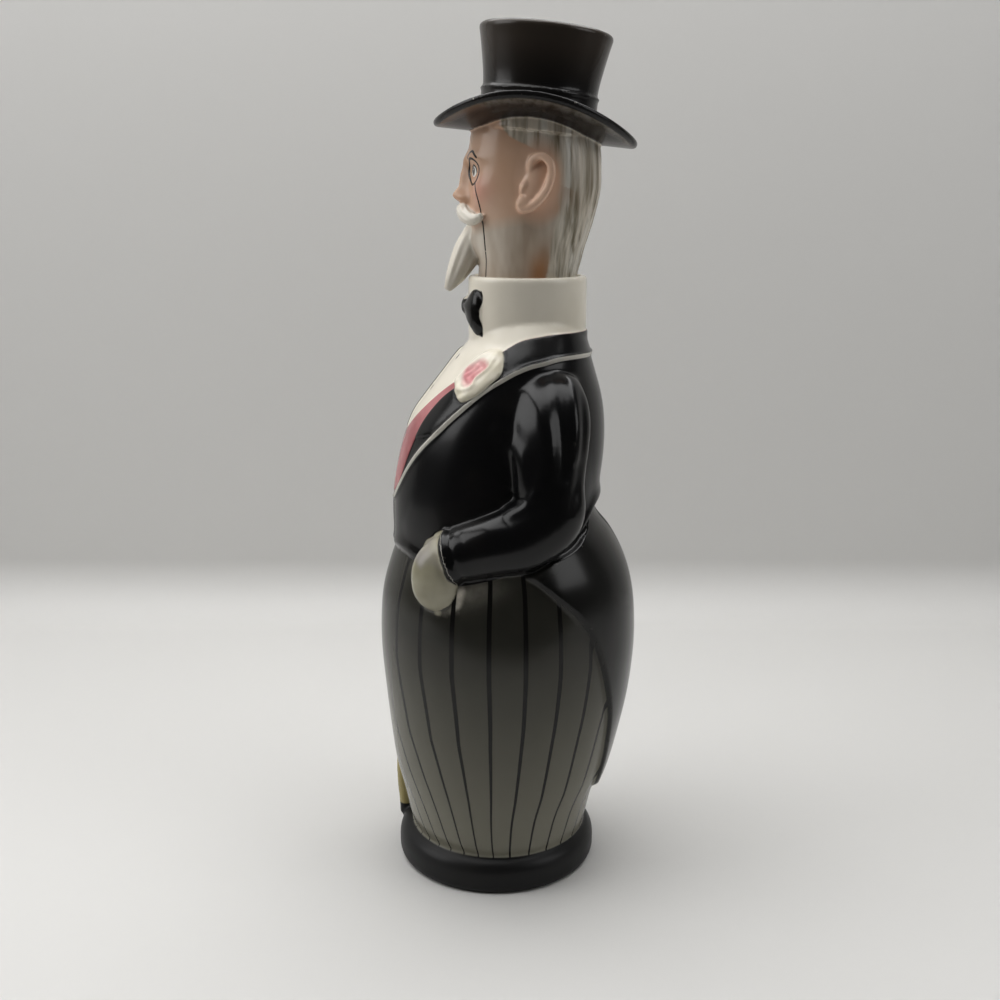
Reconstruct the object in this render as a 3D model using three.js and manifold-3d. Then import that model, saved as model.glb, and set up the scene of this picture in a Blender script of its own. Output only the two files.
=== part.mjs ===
// A glazed ceramic decanter in the shape of a gentleman in a top hat and tailcoat.
// The bottle is one hollow casting: round plinth, striped trousers, coat, arms, walking cane and
// stand-up collar. The head with its hat is the stopper: a second hollow casting, whose neck sits
// inside the collar and whose spigot drops into the mouth of the bottle.
// Units are millimetres, +Z is up, the figure faces -Y and +X is its left-hand side.
// The origin is the middle of the plinth's underside.
import * as THREE from 'three';
import { mergeVertices } from 'three/addons/utils/BufferGeometryUtils.js';
import Module from 'manifold-3d';

const wasm = await Module();
wasm.setup();

// Plinth
const plinthDiameter = 81;
const plinthHeight = 13.5;
const plinthFootChamfer = 1.5;
const plinthShoulderShare = 0.5;
const plinthRoundShare = 0.4;

// Bottle: walls, mouth and stand-up collar
const wallThickness = 4.5;
const floorThickness = 6;
const mouthBore = 27;
const collarDiameter = 44.8;
const collarHeight = 22;
const collarRim = 2.4;
const neckSetback = 12;

// Stopper fits
const neckClearance = 0.5;
const seatDepth = 6;
const seatGap = 0.3;
const spigotClearance = 0.5;
const spigotLength = 18;
const stopperWall = 4;

// The carving is given in hundredths of these two heights
const bodyHeight = 224;
const headHeight = 91;

// Thickness of the carved layers that stand proud of the figure
const tailThickness = 2;
const lapelThickness = 1.3;
const pipingThickness = 1.5;
const bowThickness = 2.4;
const flowerThickness = 2.6;
const hatBrimThickness = 2.8;
const hatBandThickness = 0.6;
const caneDiameter = 5.4;
const layerSink = 1.2;

// Fineness of the facets
const roundSegments = 30;
const limbSegments = 12;
const facetTolerance = 0.2;

const rimHeight = plinthHeight + bodyHeight;
const collarRadius = collarDiameter / 2;
const recessRadius = collarRadius - collarRim;
const neckRadius = recessRadius - neckClearance;
const seatHeight = rimHeight - seatDepth;
const mouthRadius = mouthBore / 2;
const body = bodyHeight / 100;
const head = headHeight / 100;

// Rows are height, front, back and half width, all in hundredths of the body's height above the plinth.
const trouserRows = [
  [-3, -15.0, 15.8, 15.8],
  [0, -15.3, 16.2, 16.1],
  [2.6, -16.1, 16.8, 17.0],
  [7.4, -17.1, 17.9, 18.2],
  [12.9, -18.4, 19.9, 19.4],
  [20, -19.3, 21.7, 20.5],
  [27, -20.0, 23.1, 21.4],
  [34.6, -20.6, 23.9, 22.0],
  [40.4, -20.6, 23.9, 22.1],
  [45.5, -20.1, 23.4, 21.8],
  [50.5, -18.8, 22.1, 20.9],
  [55.4, -16.9, 19.6, 19.2],
  [59.1, -15.2, 16.8, 17.2],
  [66, -14.0, 15.0, 16.0],
];
const coatRows = [
  [51, -17.3, 17.6, 18.6],
  [56, -17.8, 17.6, 18.6],
  [60, -17.9, 17.7, 18.5],
  [64, -17.7, 18.0, 18.4],
  [69, -16.8, 18.6, 18.3],
  [73, -15.7, 18.8, 18.1],
  [77, -14.1, 18.6, 17.7],
  [80.5, -11.6, 18.0, 17.0],
  [84, -8.9, 17.0, 15.8],
  [87, -6.6, 16.1, 14.2],
  [89.5, -4.3, 15.3, 12.4],
  [92, -3.2, 14.6, 10.6],
  [94, -2.6, 14.0, 9.0],
];

// The coat's lower edge: rows are angle round from the front and height.
const hemRows = [
  [0, 53.0],
  [25, 54.0],
  [42, 53.4],
  [56, 52.0],
  [68, 51.2],
  [84, 52.2],
  [98, 53.5],
  [118, 54.8],
  [138, 56.6],
  [150, 59.2],
  [160, 61.4],
  [180, 62.2],
];

// Rows are height, front, back and half width, in hundredths of the head's height above the collar rim.
const headRows = [
  [-2, -7.2, 33.2, 20.6],
  [1.2, -7.4, 33.9, 20.8],
  [6, -8.2, 35.2, 21.0],
  [12, -9.2, 36.8, 21.3],
  [22, -10.2, 40.0, 21.8],
  [34, -10.6, 42.7, 22.3],
  [42, -10.8, 42.9, 22.4],
  [50, -10.6, 42.5, 22.1],
  [57, -9.8, 41.0, 21.2],
  [64, -6.0, 37.6, 19.2],
];

const degrees = THREE.MathUtils.degToRad;

// Smooth interpolation through a table whose first column rises.
function tableAt(rows, key) {
  const last = rows.length - 1;
  let i = 0;
  while (i < last - 1 && rows[i + 1][0] < key) i += 1;
  const t = THREE.MathUtils.clamp((key - rows[i][0]) / (rows[i + 1][0] - rows[i][0]), 0, 1);
  const before = rows[Math.max(i - 1, 0)];
  const after = rows[Math.min(i + 2, last)];
  return rows[i].map((value, column) => {
    const next = rows[i + 1][column];
    const span = rows[i + 1][0] - rows[i][0];
    const slopeIn = ((next - before[column]) / (rows[i + 1][0] - before[0])) * span;
    const slopeOut = ((after[column] - value) / (after[0] - rows[i][0])) * span;
    const t2 = t * t;
    const t3 = t2 * t;
    return (
      (2 * t3 - 3 * t2 + 1) * value +
      (t3 - 2 * t2 + t) * slopeIn +
      (3 * t2 - 2 * t3) * next +
      (t3 - t2) * slopeOut
    );
  });
}

// A point on an oval section: angle runs from the front (0) over the figure's left side (90) to the back.
function sectionPoint(rows, unit, floor, angle, height, lift = 0) {
  const [, front, back, side] = tableAt(rows, height);
  const middle = ((front + back) / 2) * unit;
  const depth = ((back - front) / 2) * unit + lift;
  const width = side * unit + lift;
  const a = degrees(angle);
  return new THREE.Vector3(width * Math.sin(a), middle - depth * Math.cos(a), floor + height * unit);
}
const trousersPoint = (angle, height, lift) =>
  sectionPoint(trouserRows, body, plinthHeight, angle, height, lift);
const coatPoint = (angle, height, lift) =>
  sectionPoint(coatRows, body, plinthHeight, angle, height, lift);
const headPoint = (angle, height, lift) =>
  sectionPoint(headRows, head, rimHeight, angle, height, lift);

// Closed geometry from points and triangles.
function geometryFrom(points, triangles) {
  const geometry = new THREE.BufferGeometry().setFromPoints(points);
  geometry.setIndex(triangles);
  return geometry;
}

// A closed skin over rings with equal counts of points, capped by a point at the middle of each end.
function skin(rings) {
  const count = rings[0].length;
  const points = rings.flat();
  const triangles = [];
  for (let r = 0; r < rings.length - 1; r += 1) {
    for (let i = 0; i < count; i += 1) {
      const j = (i + 1) % count;
      const low = r * count;
      const high = low + count;
      triangles.push(low + i, low + j, high + j, low + i, high + j, high + i);
    }
  }
  for (const end of [0, rings.length - 1]) {
    const middle = rings[end].reduce((sum, p) => sum.add(p), new THREE.Vector3()).divideScalar(count);
    points.push(middle);
    for (let i = 0; i < count; i += 1) {
      const j = (i + 1) % count;
      const [a, b] = end === 0 ? [j, i] : [i, j];
      triangles.push(end * count + a, end * count + b, points.length - 1);
    }
  }
  return geometryFrom(points, triangles);
}

// A manifold solid, with its faces pointing out, from any closed three.js geometry.
function solid(geometry) {
  const bare = geometry.clone();
  bare.deleteAttribute('normal');
  bare.deleteAttribute('uv');
  const merged = mergeVertices(bare, 1e-4);
  const vertProperties = new Float32Array(merged.attributes.position.array);
  const triVerts = new Uint32Array(merged.index.array);
  const made = new wasm.Manifold(new wasm.Mesh({ numProp: 3, vertProperties, triVerts }));
  if (made.volume() > 0) return made;
  for (let i = 0; i < triVerts.length; i += 3) {
    [triVerts[i + 1], triVerts[i + 2]] = [triVerts[i + 2], triVerts[i + 1]];
  }
  return new wasm.Manifold(new wasm.Mesh({ numProp: 3, vertProperties, triVerts }));
}

// Cutting can leave flakes of no size; only real bodies are kept.
function withoutSlivers(made) {
  const smallest = 0.5;
  return joined(made.decompose().filter((piece) => piece.volume() > smallest));
}

const joined = (solids) => solids.reduce((sum, piece) => sum.add(piece));

// A solid of revolution about an upright axis set back by y; profile points are [radius, height].
function turned(profile, { y = 0, segments = roundSegments } = {}) {
  const outline = profile.map(([radius, height]) => new THREE.Vector2(radius, height));
  const geometry = new THREE.LatheGeometry(outline, segments);
  geometry.rotateX(Math.PI / 2);
  return solid(geometry.translate(0, y, 0));
}

// A limb along stations [x, y, z, outward radius, other radius]; the outward radius lies nearest to +X.
function limb(stations, { segments = limbSegments, steps = 2, mirrored = false } = {}) {
  const sign = mirrored ? -1 : 1;
  const centre = new THREE.CatmullRomCurve3(stations.map(([x, y, z]) => new THREE.Vector3(sign * x, y, z)));
  const rings = [];
  const total = (stations.length - 1) * steps;
  const sizes = stations.map((row, i) => [i, row[3], row[4]]);
  for (let i = 0; i <= total; i += 1) {
    const [, out, across] = tableAt(sizes, i / steps);
    const place = centre.getPoint(i / total);
    const ahead = centre.getTangent(i / total);
    const outward = new THREE.Vector3(sign, 0, 0);
    outward.addScaledVector(ahead, -outward.dot(ahead)).normalize();
    const sideways = new THREE.Vector3().crossVectors(ahead, outward);
    rings.push(
      Array.from({ length: segments }, (_, k) => {
        const a = (k / segments) * 2 * Math.PI;
        return place
          .clone()
          .addScaledVector(outward, out * Math.cos(a))
          .addScaledVector(sideways, across * Math.sin(a));
      }),
    );
  }
  return solid(skin(rings));
}

// A raised layer over a surface. Both edges give [angle, height] for a share of the way along;
// the layer is sunk a little into the surface and its border is rounded off.
function layer(surface, edgeA, edgeB, thickness, { along = 12, across = 4 } = {}) {
  const borderShare = 0.55;
  const outer = [];
  const inner = [];
  for (let i = 0; i <= along; i += 1) {
    for (let j = 0; j <= across; j += 1) {
      const [a0, z0] = edgeA(i / along);
      const [a1, z1] = edgeB(i / along);
      const angle = THREE.MathUtils.lerp(a0, a1, j / across);
      const height = THREE.MathUtils.lerp(z0, z1, j / across);
      const atBorder = i === 0 || j === 0 || i === along || j === across;
      outer.push(surface(angle, height, atBorder ? thickness * borderShare : thickness));
      inner.push(surface(angle, height, -layerSink));
    }
  }
  const triangles = [];
  const offset = outer.length;
  const at = (i, j) => i * (across + 1) + j;
  const quad = (a, b, c, d) => triangles.push(a, b, c, a, c, d);
  for (let i = 0; i < along; i += 1) {
    for (let j = 0; j < across; j += 1) {
      quad(at(i, j), at(i + 1, j), at(i + 1, j + 1), at(i, j + 1));
      quad(offset + at(i, j), offset + at(i, j + 1), offset + at(i + 1, j + 1), offset + at(i + 1, j));
    }
    quad(at(i, 0), offset + at(i, 0), offset + at(i + 1, 0), at(i + 1, 0));
    quad(at(i + 1, across), offset + at(i + 1, across), offset + at(i, across), at(i, across));
  }
  for (let j = 0; j < across; j += 1) {
    quad(at(0, j + 1), offset + at(0, j + 1), offset + at(0, j), at(0, j));
    quad(at(along, j), offset + at(along, j), offset + at(along, j + 1), at(along, j + 1));
  }
  return solid(geometryFrom([...outer, ...inner], triangles));
}

// An edge that runs smoothly through rows of [share along, angle, height].
const edgeThrough = (rows, mirrored = false) => (share) => {
  const [, angle, height] = tableAt(rows, share);
  return [mirrored ? -angle : angle, height];
};

function plinth() {
  const radius = plinthDiameter / 2;
  const shoulder = plinthHeight * plinthShoulderShare;
  const topRadius = radius - plinthHeight * plinthRoundShare;
  const steps = 6;
  const rounded = Array.from({ length: steps - 1 }, (_, i) => {
    const a = ((i + 1) / steps) * (Math.PI / 2);
    return [
      topRadius + (radius - topRadius) * Math.cos(a),
      shoulder + (plinthHeight - shoulder) * Math.sin(a),
    ];
  });
  return turned([
    [0, 0],
    [radius - plinthFootChamfer, 0],
    [radius, plinthFootChamfer],
    [radius, shoulder],
    ...rounded,
    [topRadius, plinthHeight],
    [0, plinthHeight],
  ]);
}

function trousers() {
  const steps = 11;
  const rings = Array.from({ length: steps + 1 }, (_, r) => {
    const height = THREE.MathUtils.lerp(trouserRows[0][0], trouserRows.at(-1)[0], r / steps);
    return Array.from({ length: roundSegments }, (_point, k) => trousersPoint((k / roundSegments) * 360, height));
  });
  return solid(skin(rings));
}

// The coat hangs from the shoulders to its hem, where the cloth ends in a raised lip.
function coat() {
  const top = coatRows.at(-1)[0];
  const lipTop = 2.4;
  const shares = [0.1, 0.2, 0.31, 0.43, 0.55, 0.66, 0.76, 0.85, 0.93, 1];
  // Rows are share of the way up, height above the hem line and how far the lip stands out.
  const rows = [
    [0, 0, -3],
    [0, 0, 0.6],
    [0, lipTop / 3, 1.1],
    [0, lipTop, 0.2],
    ...shares.map((share) => [share, lipTop * (1 - share), 0]),
  ];
  const rings = rows.map(([share, above, lift]) =>
    Array.from({ length: roundSegments }, (_, k) => {
      const angle = (k / roundSegments) * 360;
      const [, hem] = tableAt(hemRows, Math.min(angle, 360 - angle));
      return coatPoint(angle, THREE.MathUtils.lerp(hem, top, share) + above, lift);
    }),
  );
  return solid(skin(rings));
}

// One of the two tails: it sweeps back from the hip under the waist edge and hangs down the back.
function tail(mirrored) {
  const frontEdge = [
    [0, 93, 57],
    [0.1, 100, 53.2],
    [0.22, 114.7, 48.4],
    [0.36, 130.4, 41],
    [0.5, 138.5, 33],
    [0.65, 146, 25.2],
    [0.8, 151.5, 17.5],
    [0.92, 156, 11],
    [1, 166, 8.4],
  ];
  const backEdge = [
    [0, 178.8, 63.5],
    [0.5, 178.8, 36],
    [1, 178.6, 7.6],
  ];
  return layer(trousersPoint, edgeThrough(frontEdge, mirrored), edgeThrough(backEdge, mirrored), tailThickness, {
    along: 9,
    across: 3,
  });
}

// The upper sleeve falls from the shoulder and the forearm is bent forward along the coat's hem.
const sleeveRows = [
  [12.0, 8.6, 84.0, 2.4, 4.4],
  [14.4, 8.4, 81.2, 3.9, 5.2],
  [16.1, 8.2, 77.6, 4.8, 5.6],
  [17.2, 8.2, 73.4, 4.9, 5.5],
  [17.9, 8.6, 68.0, 5.0, 5.4],
  [18.5, 8.2, 62.8, 5.0, 6.0],
  [18.7, 4.4, 59.4, 4.8, 5.8],
  [18.4, 0.0, 57.8, 4.5, 5.2],
  [17.7, -4.0, 56.5, 4.3, 4.8],
  [16.8, -7.6, 55.2, 4.4, 4.5],
];
const cuffRows = [
  [17.1, -6.6, 55.6, 3.7, 4.0],
  [16.5, -9.0, 54.6, 3.6, 4.2],
];
const handRows = [
  [16.8, -7.8, 55.6, 3.3, 3.8],
  [16.9, -9.8, 53.2, 3.4, 4.3],
  [17.3, -10.0, 50.0, 3.2, 4.5],
  [17.6, -9.6, 47.4, 2.8, 3.8],
  [17.8, -9.2, 45.6, 1.6, 2.0],
];
// The trouser pocket's edge stands up round the fingers.
const pocketRows = [
  [14.6, -14.2, 51.6, 0.8, 0.8],
  [16.0, -12.8, 47.6, 0.9, 0.9],
  [18.2, -9.6, 45.2, 0.9, 0.9],
  [20.0, -6.6, 46.6, 0.9, 0.9],
  [20.2, -5.2, 50.2, 0.8, 0.8],
];
const placed = (rows) =>
  rows.map(([x, y, z, out, across]) => [
    x * body,
    y * body,
    plinthHeight + z * body,
    out * body,
    across * body,
  ]);

function arm(mirrored) {
  return joined([
    limb(placed(sleeveRows), { mirrored, segments: 14, steps: 1 }),
    limb(placed(cuffRows), { mirrored, steps: 1 }),
    limb(placed(handRows), { mirrored, steps: 1 }),
  ]);
}

const pocket = () => limb(placed(pocketRows), { segments: 6, steps: 2 });

// Coat collar and lapel: broad behind the neck and narrowing to the point where the coat closes.
const lapelOuter = [
  [0, 180, 87.0],
  [0.14, 140, 87.3],
  [0.28, 106, 86.8],
  [0.42, 84, 85.3],
  [0.54, 67, 82.6],
  [0.66, 55, 78.5],
  [0.78, 42, 73.8],
  [0.9, 27.6, 68.2],
  [1, 15, 63.6],
];
const lapelInner = [
  [0, 180, 91.2],
  [0.14, 140, 91.2],
  [0.28, 102, 91.0],
  [0.42, 76, 89.6],
  [0.54, 52, 86.2],
  [0.66, 36, 80.8],
  [0.78, 30, 75.6],
  [0.9, 21.5, 69.2],
  [1, 13, 64.0],
];

function lapel(mirrored) {
  return layer(coatPoint, edgeThrough(lapelOuter, mirrored), edgeThrough(lapelInner, mirrored), lapelThickness, {
    along: 11,
    across: 2,
  });
}

// The piping runs along the outer edge of the lapel.
function piping(mirrored) {
  const width = 0.7;
  const lower = lapelOuter.map(([share, angle, height]) => [share, angle, height - width]);
  return layer(coatPoint, edgeThrough(lower, mirrored), edgeThrough(lapelOuter, mirrored), pipingThickness, {
    along: 11,
    across: 1,
  });
}

// The stand-up collar with its rim; its foot is sunk into the shoulders.
function standUpCollar() {
  const sunk = 6.7;
  const foot = rimHeight - collarHeight - sunk;
  const rimRound = collarRim / 3;
  return turned(
    [
      [0, foot],
      [collarRadius, foot],
      [collarRadius, rimHeight - rimRound],
      [collarRadius - rimRound, rimHeight],
      [0, rimHeight],
    ],
    { y: neckSetback, segments: 32 },
  );
}

// Bow tie: two wings that wrap the collar and a knot between them.
function bowTie() {
  const collarPoint = (angle, height, lift = 0) => {
    const a = degrees(angle);
    const radius = collarRadius + lift;
    return new THREE.Vector3(
      radius * Math.sin(a),
      neckSetback - radius * Math.cos(a),
      rimHeight + height * body,
    );
  };
  const wing = (side) => {
    const top = [
      [0, 4, -4.2],
      [0.6, 20, -2.6],
      [1, 34, -2.4],
    ];
    const bottom = [
      [0, 4, -6.0],
      [0.6, 20, -8.6],
      [1, 33, -9.6],
    ];
    return layer(collarPoint, edgeThrough(top, side < 0), edgeThrough(bottom, side < 0), bowThickness, {
      along: 4,
      across: 3,
    });
  };
  const knotHalf = [1.5, 1.2, 1.7];
  const knotDrop = 5.1;
  const knot = new THREE.SphereGeometry(body, 10, 8);
  knot.scale(...knotHalf);
  knot.translate(0, neckSetback - collarRadius, rimHeight - knotDrop * body);
  return joined([wing(1), wing(-1), solid(knot)]);
}

// Buttonhole flower: rows are angle and height round its border, which fills the width of the lapel.
const flowerRows = [
  [38, 84.3],
  [43.5, 86.6],
  [50, 88.1],
  [58, 88.8],
  [66, 88.6],
  [72, 87.3],
  [74, 85.3],
  [68.5, 83.6],
  [62, 81.6],
  [55, 80.2],
  [48, 81.0],
  [42, 82.6],
];

function buttonhole() {
  const middle = [56, 84.8];
  // Rows are share of the way out from the middle and share of the thickness.
  const mound = [
    [1, -layerSink / flowerThickness],
    [1.02, 0.3],
    [0.9, 0.85],
    [0.62, 1],
    [0.3, 0.8],
  ];
  const rings = mound.map(([share, lift]) =>
    flowerRows.map(([angle, height]) =>
      coatPoint(
        THREE.MathUtils.lerp(middle[0], angle, share),
        THREE.MathUtils.lerp(middle[1], height, share),
        lift * flowerThickness,
      ),
    ),
  );
  return solid(skin(rings));
}

// The cane runs from the right fist down the trousers to the plinth, where a web of clay backs it.
function cane() {
  const radius = caneDiameter / 2;
  const knobRadius = caneDiameter * 0.85;
  const knobPlace = [18.4 * body, -14.2 * body, plinthHeight + 55.4 * body];
  const webShare = 0.45;
  const webFrom = 5;
  // Rows are angle, height and how far the cane stands off the trousers.
  const trail = [
    [-54, 44, 0.7],
    [-46, 34, 0.4],
    [-37, 24, 0.4],
    [-27, 14, 0.8],
    [-19, 6, 1.5],
    [-14, 0, 2.0],
    [-13, -2, 2.1],
  ];
  const along = (share) => [
    [...knobPlace, radius, radius],
    [18.9 * body, -14.0 * body, plinthHeight + 50 * body, radius, radius],
    ...trail.map(([angle, height, lift]) => {
      const place = trousersPoint(-angle, height, lift * share * body);
      return [place.x, place.y, place.z, radius * share, radius * share];
    }),
  ];
  const knob = new THREE.SphereGeometry(knobRadius, 10, 7);
  knob.translate(-knobPlace[0], knobPlace[1], knobPlace[2]);
  return joined([
    limb(along(1), { mirrored: true, segments: 8, steps: 1 }),
    limb(along(webShare).slice(webFrom), { mirrored: true, segments: 6, steps: 1 }),
    solid(knob),
  ]);
}

// The room for the drink: the figure's own shape, a wall's thickness inside it, up to the bore.
function cavity() {
  const lowest = trouserRows[0][0];
  const shoulder = 87.5;
  const inset = -wallThickness;
  const count = 20;
  const bands = [
    ...[lowest, 8, 18, 30, 42, 50, 55].map((height) => [trousersPoint, height]),
    ...[62, 70, 77, 83, shoulder].map((height) => [coatPoint, height]),
  ];
  const rings = bands.map(([surface, height]) =>
    Array.from({ length: count }, (_, k) => surface((k / count) * 360, height, inset)),
  );
  rings[0].forEach((p) => p.setZ(floorThickness));
  const throatFoot = plinthHeight + (shoulder - 4) * body;
  const throat = turned(
    [
      [0, throatFoot],
      [mouthRadius, throatFoot],
      [mouthRadius, seatHeight],
      [recessRadius, seatHeight],
      [recessRadius, rimHeight + collarRim],
      [0, rimHeight + collarRim],
    ],
    { y: neckSetback, segments: 28 },
  );
  return solid(skin(rings)).add(throat);
}

function bottle() {
  const outside = joined([
    plinth(),
    trousers(),
    coat(),
    tail(false),
    tail(true),
    lapel(false),
    lapel(true),
    piping(false),
    piping(true),
    standUpCollar(),
    bowTie(),
    buttonhole(),
    arm(false),
    arm(true),
    pocket(),
    cane(),
  ]);
  return withoutSlivers(outside.subtract(cavity()).simplify(facetTolerance));
}

// The head's mass with the neck that stands in the collar and the spigot for the mouth.
function neckAndSpigot() {
  const foot = seatHeight + seatGap;
  const spigotRadius = mouthRadius - spigotClearance;
  const spigotEnd = foot - spigotLength;
  const lead = 1.5;
  const neckTop = rimHeight + 3 * head;
  return turned(
    [
      [0, spigotEnd],
      [spigotRadius - lead, spigotEnd],
      [spigotRadius, spigotEnd + lead],
      [spigotRadius, foot],
      [neckRadius, foot],
      [neckRadius, neckTop],
      [0, neckTop],
    ],
    { y: neckSetback, segments: 28 },
  );
}

// Plain regular features: angle and height of the middle, spread in each, and how far they stand out.
const featureRows = [
  [20, 46.6, 13, 2.0, 1.5],
  [20, 41.4, 8.5, 2.9, -2.3],
  [20, 41.2, 6.0, 1.9, 1.6],
  [36, 34.5, 13, 5, 1.3],
  [0, 42.5, 4.0, 4.5, 1.6],
  [0, 37.0, 4.4, 4.5, 3.2],
  [0, 31.8, 5.2, 2.2, 5.0],
  [8, 30.6, 3.6, 1.8, 2.4],
  [0, 25.6, 15, 2.4, 1.6],
  [0, 23.2, 10, 0.8, -0.8],
  [0, 21.3, 8, 1.2, 1.6],
  [0, 18.6, 10, 1.2, -0.8],
  [0, 13.6, 13, 3.6, 3.0],
  [0, 6.0, 22, 2.6, -1.2],
];

function faceRelief(angle, height) {
  const turn = Math.min(angle, 360 - angle);
  const spread = (distance, width) => Math.exp(-0.5 * (distance / width) ** 2);
  return featureRows.reduce((sum, [side, level, across, tall, amount]) => {
    const near = spread(turn - side, across) + (side > 0 ? spread(turn + side, across) : 0);
    return sum + amount * near * spread(height - level, tall);
  }, 0);
}

function skull() {
  const halfTurns = [0, 3, 6, 9.5, 13, 18, 23, 30, 40, 54, 70, 90, 112, 135, 158, 180];
  const angles = [...halfTurns, ...halfTurns.slice(1, -1).reverse().map((angle) => 360 - angle)];
  const heights = [1, 6, 11, 15, 18.5, 21.3, 23.3, 26, 29, 31.8, 35, 38, 40, 42, 44.5, 47, 50, 56, 63];
  const rings = heights.map((height) =>
    angles.map((angle) => headPoint(angle, height, faceRelief(angle, height) * head)),
  );
  return solid(skin(rings));
}

const headPlaced = (rows) =>
  rows.map(([x, y, z, out, across]) => [
    x * head,
    y * head,
    rimHeight + z * head,
    out * head,
    across * head,
  ]);

// The ear leans back: a rolled rim round a shallow bowl.
function ear(side) {
  const rim = limb(
    headPlaced([
      [21.8, 13.6, 41.0, 1.7, 1.6],
      [23.4, 14.4, 45.2, 1.8, 1.7],
      [25.2, 18.0, 46.6, 1.8, 1.7],
      [26.0, 21.2, 43.6, 1.8, 1.7],
      [25.8, 21.2, 38.0, 1.8, 1.7],
      [25.0, 18.8, 32.4, 1.8, 1.7],
      [24.0, 14.4, 28.0, 1.8, 1.8],
      [22.4, 10.2, 27.0, 1.8, 1.9],
    ]),
    { mirrored: side < 0, segments: 7, steps: 1 },
  );
  const lean = 24;
  const bowlHalf = [1.4, 10, 5.2];
  const bowlPlace = [21.8 * side, 16, 36.4];
  const bowl = new THREE.SphereGeometry(head, 10, 7);
  bowl.scale(...bowlHalf);
  bowl.rotateX(degrees(90 - lean));
  bowl.translate(...bowlPlace.map((share) => share * head));
  bowl.translate(0, 0, rimHeight);
  return rim.add(solid(bowl));
}

// Swept moustache and a pointed tuft that juts from the chin.
function whiskers() {
  const tuft = limb(
    headPlaced([
      [0, -8.4, 17.0, 4.8, 4.4],
      [0, -11.9, 9.3, 4.9, 5.1],
      [0, -15.3, 2.8, 4.0, 4.6],
      [0, -18.2, -2.5, 2.8, 3.2],
      [0, -20.3, -6.2, 1.3, 1.5],
    ]),
    { segments: 9 },
  );
  const pieces = [tuft];
  for (const side of [1, -1]) {
    pieces.push(
      limb(
        headPlaced([
          [-0.4, -13.8, 27.0, 1.8, 1.9],
          [3.2, -13.6, 26.2, 2.3, 2.6],
          [8.0, -12.0, 24.0, 2.4, 2.9],
          [12.6, -8.9, 22.6, 2.0, 2.4],
          [16.4, -5.4, 24.2, 1.0, 1.2],
        ]),
        { mirrored: side < 0, segments: 8, steps: 1 },
      ),
    );
  }
  return joined(pieces);
}

// The hat sits tipped back; its parts are made upright about its own middle and then tilted.
// Its sizes are in hundredths of the head's height.
const hatTilt = 6.2;
const hatSetbackShare = 16;
const hatSeatShare = 56;
const crownRadiusShare = 23.1;
const crownHeightShare = 39.8;
const bandHeightShare = 16.4;
const brimLengthShare = 41.4;
const brimWidthShare = 36.5;
const brimCurlShare = 12.4;
// The crown widens upwards: rows are share of its height and share of its radius.
const crownFlare = [
  [0, 1],
  [0.3, 0.99],
  [0.5, 1.01],
  [0.68, 1.06],
  [0.86, 1.12],
  [0.96, 1.16],
  [0.988, 1.15],
  [1, 1.1],
];

function tipped(made) {
  return made.rotate([-hatTilt, 0, 0]).translate([0, hatSetbackShare * head, rimHeight + hatSeatShare * head]);
}

function hatCrown() {
  const radius = crownRadiusShare * head;
  const height = crownHeightShare * head;
  const outline = crownFlare.map(([up, out]) => [radius * out, height * up]);
  return turned([[0, 0], ...outline, [0, height]], { segments: 28 });
}

function hatBand() {
  const radius = crownRadiusShare * head + hatBandThickness;
  const top = bandHeightShare * head;
  const waist = 0.99;
  return turned(
    [
      [0, 0],
      [radius, 0],
      [radius * waist, top],
      [0, top],
    ],
    { segments: 28 },
  );
}

// The brim: an oval plate whose two sides curl up, a little more at the front than at the back.
function hatBrim() {
  const length = brimLengthShare * head;
  const width = brimWidthShare * head;
  const curl = brimCurlShare * head;
  const half = hatBrimThickness / 2;
  const curlPower = 1.6;
  const frontLead = 0.18;
  const brimPoint = (angle, share, lift) => {
    const a = degrees(angle);
    const rise = curl * Math.sin(a) ** 2 * share ** curlPower * (1 + frontLead * Math.cos(a));
    return new THREE.Vector3(width * share * Math.sin(a), -length * share * Math.cos(a), rise + lift);
  };
  const across = [
    [0.45, -1],
    [0.74, -1],
    [0.96, -0.85],
    [1, 0],
    [0.96, 0.85],
    [0.74, 1],
    [0.45, 1],
  ];
  const count = 28;
  const rings = across.map(([share, lift]) =>
    Array.from({ length: count }, (_, k) => brimPoint((k / count) * 360, share, lift * half)),
  );
  return solid(skin(rings));
}

// The stopper is cast hollow and stays open at the end of its spigot.
function stopperHollow() {
  const inset = -stopperWall;
  const thinWall = stopperWall * 0.6;
  const count = 20;
  const rings = [8, 20, 34, 46, 54].map((height) =>
    Array.from({ length: count }, (_, k) => headPoint((k / count) * 360, height, inset)),
  );
  const channel = mouthRadius - spigotClearance - thinWall;
  const boreEnd = seatHeight - spigotLength - stopperWall;
  const boreTop = rimHeight + 14 * head;
  const bore = turned(
    [
      [0, boreEnd],
      [channel, boreEnd],
      [channel, boreTop],
      [0, boreTop],
    ],
    { y: neckSetback, segments: count },
  );
  const crownInside = crownRadiusShare * head - stopperWall;
  const crownTop = crownHeightShare * head - stopperWall;
  const crownFoot = -8 * head;
  const inHat = turned(
    [
      [0, crownFoot],
      [crownInside - thinWall, crownFoot],
      [crownInside, crownTop / 2],
      [crownInside, crownTop],
      [0, crownTop],
    ],
    { segments: count },
  );
  return joined([solid(skin(rings)), bore, tipped(inHat)]);
}

function stopper() {
  const outside = joined([
    neckAndSpigot(),
    skull(),
    ear(1),
    ear(-1),
    whiskers(),
    tipped(joined([hatCrown(), hatBand(), hatBrim()])),
  ]);
  return withoutSlivers(outside.subtract(stopperHollow()).simplify(facetTolerance));
}

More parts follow.
